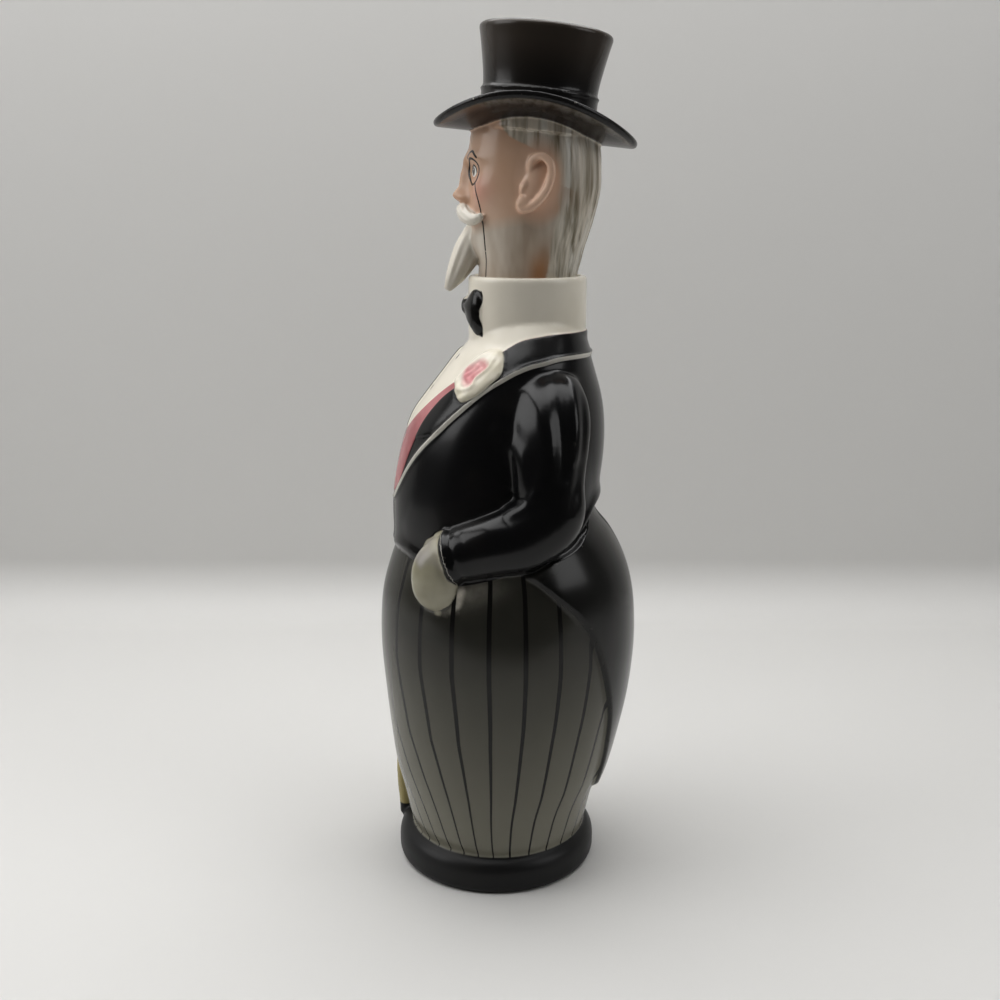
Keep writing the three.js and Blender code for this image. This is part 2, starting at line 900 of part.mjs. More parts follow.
// A named mesh from a manifold solid.
function meshOf(name, made, material) {
  const { vertProperties, triVerts, numProp, numVert } = made.getMesh();
  const positions = new Float32Array(numVert * 3);
  for (let i = 0; i < numVert; i += 1) {
    positions.set(vertProperties.subarray(i * numProp, i * numProp + 3), i * 3);
  }
  const geometry = new THREE.BufferGeometry();
  geometry.setAttribute('position', new THREE.BufferAttribute(positions, 3));
  geometry.setIndex(new THREE.BufferAttribute(triVerts, 1));
  geometry.computeVertexNormals();
  const mesh = new THREE.Mesh(geometry, material);
  mesh.name = name;
  return mesh;
}

const bodyGlaze = new THREE.MeshStandardMaterial({ color: 0x2b2b2c, roughness: 0.16, metalness: 0 });
const headGlaze = new THREE.MeshStandardMaterial({ color: 0xc9a183, roughness: 0.18, metalness: 0 });

const decanter = new THREE.Group();
decanter.add(meshOf('bottle_body', bottle(), bodyGlaze));
decanter.add(meshOf('head_stopper', stopper(), headGlaze));

export default decanter;
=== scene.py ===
import math

import bpy
import numpy as np
from mathutils import Matrix, Vector


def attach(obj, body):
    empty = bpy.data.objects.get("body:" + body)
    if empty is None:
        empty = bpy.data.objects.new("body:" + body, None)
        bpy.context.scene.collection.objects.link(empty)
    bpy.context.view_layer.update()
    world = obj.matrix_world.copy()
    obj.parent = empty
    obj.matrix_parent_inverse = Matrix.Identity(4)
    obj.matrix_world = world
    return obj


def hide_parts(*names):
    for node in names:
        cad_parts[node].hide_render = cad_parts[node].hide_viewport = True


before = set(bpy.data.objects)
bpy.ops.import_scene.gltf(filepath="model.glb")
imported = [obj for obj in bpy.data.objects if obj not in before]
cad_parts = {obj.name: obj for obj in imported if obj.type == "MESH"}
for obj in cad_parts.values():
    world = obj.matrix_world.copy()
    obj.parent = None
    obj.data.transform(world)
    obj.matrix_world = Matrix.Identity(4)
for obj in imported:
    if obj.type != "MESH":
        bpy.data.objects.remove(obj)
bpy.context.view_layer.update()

mm = 0.001

# The figure's own measures in millimetres, as the solids have them.
figure = {
    "plinthDiameter": 81.0,
    "plinthHeight": 13.5,
    "bodyHeight": 224.0,     # from the plinth's top to the collar's rim
    "headHeight": 91.0,      # from the collar's rim to the hat's crown
    "collarDiameter": 44.8,
    "collarHeight": 22.0,
    "collarRim": 2.4,
    "neckSetback": 12.0,
    "seatDepth": 6.0,
    "mouthBore": 27.0,
    "wall": 4.5,
    "floor": 6.0,
}
plinthTop = figure["plinthHeight"]
rimHeight = plinthTop + figure["bodyHeight"]
bodyUnit = figure["bodyHeight"] / 100
headUnit = figure["headHeight"] / 100
collarRadius = figure["collarDiameter"] / 2
recessRadius = collarRadius - figure["collarRim"]
seatHeight = rimHeight - figure["seatDepth"]
mouthRadius = figure["mouthBore"] / 2

# Oval sections: height, front, back, half width, in hundredths of the body's or the head's height.
trouserRows = [
    (-3, -15.0, 15.8, 15.8), (0, -15.3, 16.2, 16.1), (2.6, -16.1, 16.8, 17.0), (7.4, -17.1, 17.9, 18.2),
    (12.9, -18.4, 19.9, 19.4), (20, -19.3, 21.7, 20.5), (27, -20.0, 23.1, 21.4), (34.6, -20.6, 23.9, 22.0),
    (40.4, -20.6, 23.9, 22.1), (45.5, -20.1, 23.4, 21.8), (50.5, -18.8, 22.1, 20.9),
    (55.4, -16.9, 19.6, 19.2), (59.1, -15.2, 16.8, 17.2), (66, -14.0, 15.0, 16.0),
]
coatRows = [
    (51, -17.3, 17.6, 18.6), (56, -17.8, 17.6, 18.6), (60, -17.9, 17.7, 18.5), (64, -17.7, 18.0, 18.4),
    (69, -16.8, 18.6, 18.3), (73, -15.7, 18.8, 18.1), (77, -14.1, 18.6, 17.7), (80.5, -11.6, 18.0, 17.0),
    (84, -8.9, 17.0, 15.8), (87, -6.6, 16.1, 14.2), (89.5, -4.3, 15.3, 12.4), (92, -3.2, 14.6, 10.6),
    (94, -2.6, 14.0, 9.0),
]
headRows = [
    (-2, -7.2, 33.2, 20.6), (1.2, -7.4, 33.9, 20.8), (6, -8.2, 35.2, 21.0), (12, -9.2, 36.8, 21.3),
    (22, -10.2, 40.0, 21.8), (34, -10.6, 42.7, 22.3), (42, -10.8, 42.9, 22.4), (50, -10.6, 42.5, 22.1),
    (57, -9.8, 41.0, 21.2), (64, -6.0, 37.6, 19.2),
]
# Lines on the coat and trousers: turn from the front in degrees, height.
hemLine = [
    (0, 53.0), (25, 54.0), (42, 53.4), (56, 52.0), (68, 51.2), (84, 52.2), (98, 53.5), (118, 54.8),
    (138, 56.6), (150, 59.2), (160, 61.4), (180, 62.2),
]
pipingLine = [
    (0, 61.8), (12, 62.8), (20.9, 65.3), (27.6, 68.2), (34.9, 71.2), (42.2, 73.8), (49.2, 76.0), (55.3, 78.5),
    (60.8, 80.7), (67.3, 82.6), (75.2, 84.1), (84.2, 85.4), (94.3, 86.3), (105.6, 86.8), (118.6, 87.3),
    (134.6, 87.4), (161, 87.2), (180, 87.1),
]
lapelLine = [
    (0, 62.6), (10, 63.4), (18, 65.0), (22, 67.2), (25.3, 70.2), (28.4, 73.6), (31.6, 76.9),
    (35.4, 80.4), (42.7, 82.8), (52, 85.6), (66.9, 88.5), (80.2, 90.1), (98.9, 90.8), (120, 91.1),
    (158, 91.0), (180, 91.0),
]
waistcoatLine = [
    (0, 73.6), (5, 74.0), (9.8, 74.9), (14.6, 76.1), (19.5, 77.6), (25.3, 79.9), (32.3, 82.1), (39.3, 83.5),
    (44, 83.0), (52, 85.0), (66.9, 88.0), (80, 89.6), (99, 90.4), (120, 90.7), (180, 90.6),
]
tailLine = [   # height, turn: the front edge of a tail, then its rounded end
    (7.6, 180), (8.2, 168), (9.8, 158.5), (12.6, 154.6), (16.2, 152.8), (20.8, 149.5), (25.2, 146),
    (30.8, 140.3), (36, 135), (41, 129.6), (45, 123.1), (48.4, 114.7), (51.6, 105.5), (53.6, 97), (57, 88),
]
flowerLine = [   # turn, height: round the border of the buttonhole flower
    (38, 84.3), (43.0, 86.6), (49, 88.2), (58, 88.8), (66, 88.6), (72, 87.3), (74, 85.3), (69.0, 83.6),
    (62.5, 81.7), (55, 80.6), (47.5, 81.5), (41.5, 82.9),
]
heartLine = [    # round the coloured heart of the flower
    (51.3, 83.2), (46.0, 84.3), (44.7, 85.8), (49.2, 86.8), (54.0, 87.4), (59.7, 87.1), (62.8, 86.4),
    (60.5, 85.4), (57.0, 84.5), (56.5, 83.5),
]
ruffleLine = [   # the rolled lip between the heart and the outer petals
    (64.5, 87.4), (63.6, 86.3), (60.2, 85.3), (57.4, 84.4), (57.6, 83.4), (54.2, 82.7), (48.5, 82.6),
    (43.5, 83.7),
]


def tableAt(rows, key):   # a smooth curve through a table whose first column rises
    rows = np.asarray(rows, float)
    key = np.asarray(key, float)
    last = len(rows) - 1
    low = np.clip(np.searchsorted(rows[:, 0], key) - 1, 0, last - 1)
    before, here = rows[np.maximum(low - 1, 0)], rows[low]
    after, beyond = rows[low + 1], rows[np.minimum(low + 2, last)]
    span = (after[..., :1] - here[..., :1])
    t = np.clip((key[..., None] - here[..., :1]) / span, 0, 1)
    slopeIn = (after - before) / (after[..., :1] - before[..., :1]) * span
    slopeOut = (beyond - here) / (beyond[..., :1] - here[..., :1]) * span
    t2, t3 = t * t, t * t * t
    start = (2 * t3 - 3 * t2 + 1) * here + (t3 - 2 * t2 + t) * slopeIn
    return start + (3 * t2 - 2 * t3) * after + (t3 - t2) * slopeOut


def lineThrough(rows, count):   # points along a smooth open curve through the rows
    steps = np.linspace(0, len(rows) - 1, count)
    return tableAt([(i, *row) for i, row in enumerate(rows)], steps)[:, 1:]


def smoothStep(value):
    t = np.clip(value, 0, 1)
    return t * t * (3 - 2 * t)


def bell(distance, width):
    return np.exp(-0.5 * (distance / width) ** 2)


class Oval:   # a stack of oval sections, and the way back from a point to turn and height
    def __init__(self, rows, unit, floor):
        self.rows, self.unit, self.floor = rows, unit, floor

    def section(self, height):
        _, front, back, side = np.moveaxis(tableAt(self.rows, height), -1, 0)
        return (front + back) / 2 * self.unit, (back - front) / 2 * self.unit, side * self.unit

    def point(self, turn, height, lift=0.0):
        middle, depth, width = self.section(height)
        a = np.radians(turn)
        x = (width + lift) * np.sin(a)
        y = middle - (depth + lift) * np.cos(a)
        return np.stack([x, y, self.floor + height * self.unit + 0 * a], axis=-1)

    def place(self, points):
        height = (points[:, 2] - self.floor) / self.unit
        middle, depth, width = self.section(height)
        across, ahead = points[:, 0] / width, (middle - points[:, 1]) / depth
        return np.degrees(np.abs(np.arctan2(across, ahead))), height, np.hypot(across, ahead)


trousers = Oval(trouserRows, bodyUnit, plinthTop)
coat = Oval(coatRows, bodyUnit, plinthTop)
head = Oval(headRows, headUnit, rimHeight)


def readPoints(mesh):
    points = np.empty(len(mesh.vertices) * 3)
    mesh.vertices.foreach_get("co", points)
    return points.reshape(-1, 3) / mm


def writePoints(mesh, points):
    mesh.vertices.foreach_set("co", (points * mm).ravel())
    mesh.update()


def readNormals(mesh):
    normals = np.empty(len(mesh.vertices) * 3, dtype=np.float32)
    mesh.vertex_normals.foreach_get("vector", normals)
    return normals.reshape(-1, 3).astype(float)


def pick(*objects):
    bpy.ops.object.select_all(action="DESELECT")
    for thing in objects:
        thing.select_set(True)
    bpy.context.view_layer.objects.active = objects[0]


def ballForm(name, around, along, place):
    # a ball primitive, every ring of which is moved to where place(turn, level) puts it
    bpy.ops.object.select_all(action="DESELECT")
    bpy.ops.mesh.primitive_uv_sphere_add(segments=around, ring_count=along, radius=1)
    form = bpy.context.object
    form.name = name
    ball = readPoints(form.data) * mm
    ring = np.round((1 - np.arccos(np.clip(ball[:, 2], -1, 1)) / np.pi) * along)
    level = np.clip((ring - 1) / (along - 2), 0, 1)
    points = place(np.degrees(np.arctan2(ball[:, 0], -ball[:, 1])) % 360, level)
    for pole, edge in ((0, 1), (along, along - 1)):
        points[ring == pole] = points[ring == edge].mean(axis=0)
    writePoints(form.data, points)
    return form


def turnedForm(name, profile, around=96, y=0.0):   # profile rows are radius, height
    profile = np.asarray(profile, float)
    shares = np.linspace(0, 1, len(profile))

    def place(turn, level):
        radius, height = (np.interp(level, shares, profile[:, i]) for i in (0, 1))
        a = np.radians(turn)
        return np.stack([radius * np.sin(a), y - radius * np.cos(a), height], -1)
    return ballForm(name, around, len(profile) + 1, place)


class Limb:   # a rounded rod along stations: x, y, z, outward radius, other radius
    def __init__(self, rows, unit, floor, mirrored=False):
        sign = -1 if mirrored else 1
        self.rows = [(i, sign * x * unit, y * unit, floor + z * unit, o * unit, c * unit)
                     for i, (x, y, z, o, c) in enumerate(rows)]
        self.sign = sign
        self.samples = self.at(np.linspace(0, 1, 90))

    def at(self, level):
        key = level * (len(self.rows) - 1)
        row = tableAt(self.rows, key)
        step = 0.01
        ahead = tableAt(self.rows, key + step)[..., 1:4] - tableAt(self.rows, key - step)[..., 1:4]
        ahead /= np.linalg.norm(ahead, axis=-1, keepdims=True)
        outward = np.zeros_like(ahead)
        outward[..., 0] = self.sign
        outward -= ahead * np.sum(ahead * outward, axis=-1, keepdims=True)
        outward /= np.linalg.norm(outward, axis=-1, keepdims=True)
        return row[..., 1:4], outward, np.cross(ahead, outward), row[..., 4], row[..., 5]

    def form(self, name, around=32, along=40, swell=None):
        def place(turn, level):
            centre, outward, sideways, out, across = self.at(level)
            grow = swell(turn, level) if swell else 0
            a = np.radians(turn)[:, None]
            return (centre + outward * np.cos(a) * (out + grow)[:, None]
                    + sideways * np.sin(a) * (across + grow)[:, None])
        return ballForm(name, around, along, place)

    def gap(self, points):   # millimetres inside the limb's skin, negative outside
        centre, outward, sideways, out, across = self.samples
        near = nearest(points, centre)[0]
        offset = points - centre[near]
        o = np.sum(offset * outward[near], -1) / out[near]
        s = np.sum(offset * sideways[near], -1) / across[near]
        along = np.linalg.norm(offset, axis=-1)
        radius = np.hypot(o, s)
        inside = (1 - radius) * np.minimum(out, across)[near]
        past = along - np.maximum(out, across)[near]
        return np.minimum(inside, 0.3 - past)


def bothSides(rows, unit, floor):   # the figure's left limb and its mirrored right one
    return [Limb(rows, unit, floor, mirrored) for mirrored in (False, True)]


def limbGap(limbs, points):
    return np.maximum.reduce([limb.gap(points) for limb in limbs])


def nearest(points, line):
    found = np.empty(len(points), dtype=int)
    gaps = np.empty(len(points))
    for start in range(0, len(points), 20000):
        part = points[start:start + 20000]
        square = (part ** 2).sum(1)[:, None] + (line ** 2).sum(1) - 2 * part @ line.T
        found[start:start + 20000] = square.argmin(1)
        gaps[start:start + 20000] = np.sqrt(np.maximum(square.min(1), 0))
    return found, gaps


def lineGap(points, surface, rows):
    # distance to a line that is drawn on both halves of a surface, by rows of turn and height
    turn, height, _ = surface.place(points)
    return pathGap(surface.point(turn, height), surface.point(*lineThrough(rows, 420).T))


def pathGap(points, line):
    near = nearest(points, line)[0]
    best = np.full(len(points), np.inf)
    for first in (np.maximum(near - 1, 0), np.minimum(near, len(line) - 2)):
        start, along = line[first], line[first + 1] - line[first]
        share = np.clip(np.sum((points - start) * along, -1) / np.sum(along * along, -1), 0, 1)
        best = np.minimum(best, np.linalg.norm(points - start - along * share[:, None], axis=-1))
    return best


def patchGap(spots, border):   # signed distance to a closed border in a plane, positive inside
    ring = np.vstack([border, border[:1]])
    inside = np.zeros(len(spots), dtype=bool)
    for (x0, y0), (x1, y1) in zip(ring[:-1], ring[1:]):
        crosses = (y0 > spots[:, 1]) != (y1 > spots[:, 1])
        share = (spots[:, 1] - y0) / (y1 - y0 if y1 != y0 else 1)
        inside ^= crosses & (spots[:, 0] < x0 + share * (x1 - x0))
    return pathGap(spots, ring) * np.where(inside, 1, -1)


def roundedLoop(rows, count=96):   # a smooth closed curve through the rows
    rows = np.asarray(rows, float)
    wrapped = np.vstack([rows[-2:], rows, rows[:3]])
    keyed = [(i - 2, *row) for i, row in enumerate(wrapped)]
    return tableAt(keyed, np.linspace(0, len(rows), count, endpoint=False))[:, 1:]


def applyModifier(form, kind, **settings):
    pick(form)
    modifier = form.modifiers.new(kind.title(), kind)
    for key, value in settings.items():
        setattr(modifier, key, value)
    bpy.ops.object.modifier_apply(modifier=modifier.name)


def joinForms(name, forms):
    pick(*forms)
    bpy.ops.object.join()
    forms[0].name = name
    return forms[0]


def castTogether(form, grain, softness):
    # one skin over all the joined forms, with the soft creases that a glaze leaves
    applyModifier(form, "REMESH", mode="VOXEL", voxel_size=grain * mm, use_smooth_shade=True)
    applyModifier(form, "SMOOTH", factor=0.5, iterations=softness)
    return form


def softenWhere(form, weight, times):   # smooths the skin by weights from 0 to 1
    group = form.vertex_groups.new(name="soft")
    levels = np.round(np.clip(weight, 0, 1) * 10).astype(int)
    for level in range(1, 11):
        group.add(np.nonzero(levels == level)[0].tolist(), level / 10, "REPLACE")
    applyModifier(form, "SMOOTH", factor=0.5, iterations=times, vertex_group="soft")
    form.vertex_groups.clear()


def combine(form, other, operation):
    pick(form)
    both = form.modifiers.new("Combine", "BOOLEAN")
    both.operation, both.solver, both.object = operation, "EXACT", other
    bpy.ops.object.modifier_apply(modifier=both.name)
    bpy.data.objects.remove(other, do_unlink=True)


def keepField(mesh, name, values):
    field = mesh.attributes.new(name, "FLOAT", "POINT")
    field.data.foreach_set("value", np.asarray(values, dtype=np.float32))


def keepEdges(mesh, points):   # how far a point stands out from its neighbours, from 0 to 1
    edges = np.empty(len(mesh.edges) * 2, dtype=np.int32)
    mesh.edges.foreach_get("vertices", edges)
    edges = edges.reshape(-1, 2)
    standing = np.zeros(len(points))
    count = np.zeros(len(points))
    normals = readNormals(mesh)
    for here, there in ((0, 1), (1, 0)):
        offset = points[edges[:, here]] - points[edges[:, there]]
        lean = np.sum(offset * normals[edges[:, here]], -1)
        lean /= np.maximum(np.sum(offset * offset, -1), 1e-6)
        standing += np.bincount(edges[:, here], lean, len(points))
        count += np.bincount(edges[:, here], minlength=len(points))
    standing /= np.maximum(count, 1)
    for _ in range(3):
        spread = standing.copy()
        for here, there in ((0, 1), (1, 0)):
            spread += np.bincount(edges[:, here], standing[edges[:, there]], len(points))
        standing = spread / (count + 1)
    keepField(mesh, "edge", smoothStep((standing - 0.06) / 0.2))


def thinTo(form, triangles):
    mesh = form.data
    mesh.calc_loop_triangles()
    if len(mesh.loop_triangles) > triangles:
        applyModifier(form, "DECIMATE", ratio=triangles / len(mesh.loop_triangles))


def smoothShade(form):
    pick(form)
    bpy.ops.object.shade_smooth()


print("surfaces ready")


# The bottle

bottle = {
    "grain": 0.68,           # millimetres between points of the skin
    "softness": 5,
    "tailThickness": 2.0,
    "lapelThickness": 0.55,
    "pipingWidth": 0.85,
    "pipingHeight": 0.8,
    "hemLip": 0.7,
    "triangles": 185000,
}

sleeveRows = [
    (12.0, 8.8, 84.0, 2.4, 4.6), (14.4, 8.9, 81.2, 3.9, 5.9), (16.1, 9.0, 77.6, 4.8, 6.3),
    (17.2, 8.9, 73.4, 4.9, 6.1), (17.9, 8.7, 68.0, 5.0, 5.6), (18.5, 8.2, 62.8, 5.0, 6.0),
    (18.7, 4.4, 59.4, 4.8, 5.8), (18.4, 0.0, 57.8, 4.5, 5.2), (17.7, -4.0, 56.5, 4.3, 4.8),
    (16.8, -7.6, 55.2, 4.4, 4.5),
]
cuffRows = [(17.1, -6.6, 55.6, 3.7, 4.0), (16.5, -9.0, 54.6, 3.6, 4.2)]
handRows = [
    (16.6, -7.6, 55.9, 3.3, 3.8), (16.8, -9.3, 53.6, 3.5, 4.3), (17.1, -9.6, 51.2, 3.5, 4.3),
    (17.3, -9.3, 49.2, 3.2, 3.9), (17.5, -9.0, 47.7, 2.3, 2.9), (17.6, -8.8, 46.8, 1.1, 1.4),
]
pocketRows = [
    (14.7, -13.8, 52.0, 0.4, 0.4), (15.3, -13.0, 49.2, 0.5, 0.5), (16.8, -11.0, 47.0, 0.55, 0.55),
    (18.5, -8.2, 46.5, 0.55, 0.55), (19.6, -6.2, 48.0, 0.5, 0.5), (19.8, -5.6, 50.6, 0.4, 0.4),
]
caneTop = (18.4, -14.2, 55.4)
caneRadius = 2.7 / bodyUnit
knobRadius = 4.6             # millimetres
knobPlace = np.array([-caneTop[0] * bodyUnit, caneTop[1] * bodyUnit, plinthTop + caneTop[2] * bodyUnit])
caneTrail = [(-54, 44, 0.7), (-46, 34, 0.4), (-37, 24, 0.4), (-27, 14, 1.2), (-19, 6, 2.2), (-14, 0, 2.6),
             (-13, -2, 2.7)]


def caneStations(share):
    rows = [(*caneTop, caneRadius, caneRadius), (18.9, -14.0, 50, caneRadius, caneRadius)]
    radius = caneRadius * share
    for turn, height, lift in caneTrail:
        x, y, z = trousers.point(np.array(-turn), np.array(height), lift * share * bodyUnit)
        rows.append((x / bodyUnit, y / bodyUnit, (z - plinthTop) / bodyUnit, radius, radius))
    return rows


sleeves, cuffs, hands = (bothSides(rows, bodyUnit, plinthTop) for rows in (sleeveRows, cuffRows, handRows))
pocketEdge = Limb(pocketRows, bodyUnit, plinthTop)
cane = Limb(caneStations(1), bodyUnit, plinthTop, mirrored=True)
caneWeb = Limb(caneStations(0.45)[5:], bodyUnit, plinthTop, mirrored=True)

# Folds of the sleeves, seen from the side: rise of the fold, its width, then places as y and z.
foldLines = [
    (1.3, 2.6, [(11.0, 201), (16.0, 192), (18.5, 182), (18.2, 172), (11.0, 162)]),
    (-1.5, 2.0, [(20.5, 206), (22.4, 195), (23.4, 182), (22.6, 168)]),
    (1.1, 1.9, [(25.0, 206), (27.2, 196), (28.4, 186), (28.4, 174)]),
    (-0.9, 1.3, [(30.6, 203), (31.0, 190), (30.8, 178), (29.0, 166), (26.5, 156)]),
    (1.2, 2.2, [(-2.0, 186), (3.4, 183), (7.6, 176.5), (8.8, 170), (7.6, 163)]),
    (-0.5, 1.3, [(13.5, 170), (11.0, 164), (5.5, 158.5)]),
    (0.5, 1.3, [(14.5, 165), (10.0, 160), (3.0, 155)]),
    (-0.4, 1.3, [(12.0, 158), (5.0, 154.5), (-3.0, 151)]),
    (0.5, 2.4, [(4.0, 153), (-4.0, 150), (-12.0, 147)]),
]


def foldRise(points):
    rise = np.zeros(len(points))
    for height, width, places in foldLines:
        near, gap = nearest(points[:, 1:], lineThrough(places, 121))
        fade = np.sin(np.pi * np.clip(near / 120, 0, 1)) ** 0.6
        rise += height * fade * bell(gap, width)
    return rise * smoothStep((np.abs(points[:, 0]) - 28) / 6)


def sleeveEdge(turn, level):   # the sleeve ends in a narrow turned hem
    return 0.6 * bell(level - 0.975, 0.012) - 0.5 * bell(level - 0.945, 0.01)


def makePlinth():
    radius, height = figure["plinthDiameter"] / 2, figure["plinthHeight"]
    rounding = np.linspace(0, math.pi / 2, 14)
    shoulder, topRadius = height * 0.5, radius - height * 0.4
    profile = [(radius - 1.5, 0), (radius - 0.6, 0.8), (radius, 2.4)]
    profile += [(topRadius + (radius - topRadius) * math.cos(a), shoulder + (height - shoulder) * math.sin(a))
                for a in rounding]
    return turnedForm("plinth", profile)


def makeTrousers():
    low, high = trouserRows[0][0], trouserRows[-1][0]

    def place(turn, level):
        return trousers.point(turn, low + (high - low) * level)
    return ballForm("trousers", 160, 120, place)


def makeCoat():
    top = coatRows[-1][0]
    # the turned hem: share of the way up, height above the hem, lift
    turnedHem = np.array([(0, 0, -3), (0.02, 0, 0.6), (0.05, 0.8, 1.1), (0.09, 1.6, 0.8), (0.13, 2.4, 0.25),
                          (0.2, 3.8, 0)])

    def place(turn, level):
        hem = tableAt(hemLine, np.minimum(turn, 360 - turn))[:, 1]
        above, lift = (np.interp(level, turnedHem[:, 0], turnedHem[:, i]) for i in (1, 2))
        share = np.clip((level - 0.2) / 0.8, 0, 1)
        return coat.point(turn, hem + above + (top - hem - above) * share, lift)
    return ballForm("coat", 160, 120, place)


def makeCollar():
    foot, rim = rimHeight - figure["collarHeight"] - collarRadius * 0.3, figure["collarRim"] * 0.5
    profile = [(collarRadius, foot), (collarRadius, rimHeight - rim)]
    profile += [(collarRadius - rim + rim * math.cos(a), rimHeight - rim + rim * math.sin(a))
                for a in np.linspace(0.2, math.pi / 2, 6)]
    return turnedForm("collar", profile, y=figure["neckSetback"])


def bowPoint(turn, height, lift):   # on the collar, height in hundredths of the body below the rim
    a = np.radians(turn)
    radius = collarRadius + lift
    y = figure["neckSetback"] - radius * np.cos(a)
    return np.stack([radius * np.sin(a), y, rimHeight + height * bodyUnit], -1)


bow = {
    "halfTurn": 41.0,        # degrees from the knot to the end of a wing
    "middle": -5.1,          # in hundredths of the body below the rim, as are the next three
    "droop": 0.9,
    "knotHalf": 1.0,
    "endHalf": 3.6,
    "thickness": 2.6,        # millimetres
    "notch": 3.6,            # degrees
}


def bowHalf(turn):   # half the height of the bow at a turn from its knot
    share = np.clip(np.abs(turn) / bow["halfTurn"], 0, 1)
    return bow["knotHalf"] + (bow["endHalf"] - bow["knotHalf"]) * smoothStep(share * 1.25)


def bowMiddle(turn):
    return bow["middle"] - bow["droop"] * np.abs(turn) / bow["halfTurn"]


def makeBow():
    def place(turn, level):
        side = level * 2 - 1
        a = np.radians(turn)
        end = np.sqrt(np.clip(1 - np.abs(side) ** 8, 0, 1))
        notch = bow["notch"] * bell(np.cos(a), 0.3) * smoothStep((np.abs(side) - 0.6) / 0.4)
        across = bow["halfTurn"] * side - np.sign(side) * notch
        pleat = 1 + 0.25 * np.cos(5 * a) * bell(np.abs(across) - 6, 9)
        up = bowMiddle(across) + bowHalf(across) * np.cos(a) * end
        out = bow["thickness"] * np.sin(a) * end * pleat * (0.75 + 0.25 * np.abs(side))
        return bowPoint(across, up, out)
    wings = ballForm("bow wings", 48, 56, place)

    def knotPlace(turn, level):
        a, b = np.radians(turn), (level - 0.5) * math.pi
        dent = 1 - 0.12 * bell(np.sin(a), 0.3)
        return bowPoint(0 * a, bow["middle"] + 1.7 * np.sin(b), 0) + np.stack(
            [3.0 * np.cos(b) * np.sin(a), -3.2 * dent * np.cos(b) * np.cos(a), 0 * a], -1)
    return [wings, ballForm("bow knot", 28, 20, knotPlace)]


flower = {"middle": (56.0, 84.8), "thickness": 2.6, "sunk": 1.5, "turnScale": 0.58}


def flat(turn, height):   # the coat's surface unrolled, in millimetres
    return np.stack([np.asarray(turn) * flower["turnScale"], np.asarray(height) * bodyUnit], -1)


def makeFlower():
    border = roundedLoop(flowerLine)
    middle = np.array(flower["middle"])

    def place(turn, level):
        edge = border[np.round(turn / 360 * len(border)).astype(int) % len(border)]
        share = np.interp(level, (0, 0.12, 0.3, 1), (1, 1.0, 0.94, 0.05))
        sunk = -flower["sunk"] / flower["thickness"]
        lift = np.interp(level, (0, 0.12, 0.3, 0.45, 1), (sunk, 0.25, 0.8, 1, 0.95))
        spot = middle + (edge - middle) * share[:, None]
        return coat.point(spot[:, 0], spot[:, 1], lift * flower["thickness"])
    return [ballForm("flower", len(border), 30, place)]


def flowerRise(points, field):
    # soft petals in the heart, a rolled lip beside it, and plain outer petals that fall away to the coat
    u, v = field["flowerSpot"].T
    ripple = np.sin(u * 1.5 + 1.2 * np.sin(v * 1.1)) * np.cos(v * 1.3 - u * 0.4)
    middle = smoothStep(field["heart"])
    lip = 0.75 * bell(field["ruffle"], 0.55) * (0.85 + 0.15 * np.sin(u * 4 + v * 3))
    outer = 0.12 * np.sin(u * 1.1 - v * 0.8) * (1 - middle)
    return (lip + outer + (0.3 * ripple - 0.25) * middle) * smoothStep(field["flower"] / 0.8)


def makeKnob():
    bpy.ops.object.select_all(action="DESELECT")
    bpy.ops.mesh.primitive_uv_sphere_add(segments=28, ring_count=18, radius=knobRadius * mm,
                                         location=tuple(knobPlace * mm))
    knob = bpy.context.object
    pick(knob)
    bpy.ops.object.transform_apply(location=True, rotation=True, scale=True)
    return knob


def makeCavity():
    rows = [(trousers, -3.3), (trousers, 8), (trousers, 18), (trousers, 30), (trousers, 42), (trousers, 50),
            (trousers, 55), (coat, 62), (coat, 70), (coat, 77), (coat, 83), (coat, 87.5)]
    ring = np.linspace(0, 360, 48, endpoint=False)
    loops = []
    for oval, height in rows:
        loop = oval.point(ring, np.full(ring.shape, float(max(height, -3))), -figure["wall"])
        if height < 0:
            loop[:, 2] = figure["floor"]
        loops.append(loop)
    stack = np.array(loops)

    def place(turn, level):
        row = np.round(level * (len(rows) - 1)).astype(int)
        return stack[row, np.round(turn / 360 * len(ring)).astype(int) % len(ring)]
    room = ballForm("room", len(ring), len(rows) + 1, place)
    foot = plinthTop + (87.5 - 4) * bodyUnit
    throat = turnedForm("throat", [
        (mouthRadius, foot), (mouthRadius, seatHeight - 0.4), (mouthRadius + 0.4, seatHeight),
        (recessRadius, seatHeight), (recessRadius, rimHeight - 0.6), (recessRadius + 0.5, rimHeight + 0.2),
        (recessRadius + 0.5, rimHeight + 3)], around=72, y=figure["neckSetback"])
    combine(room, throat, "UNION")
    return room


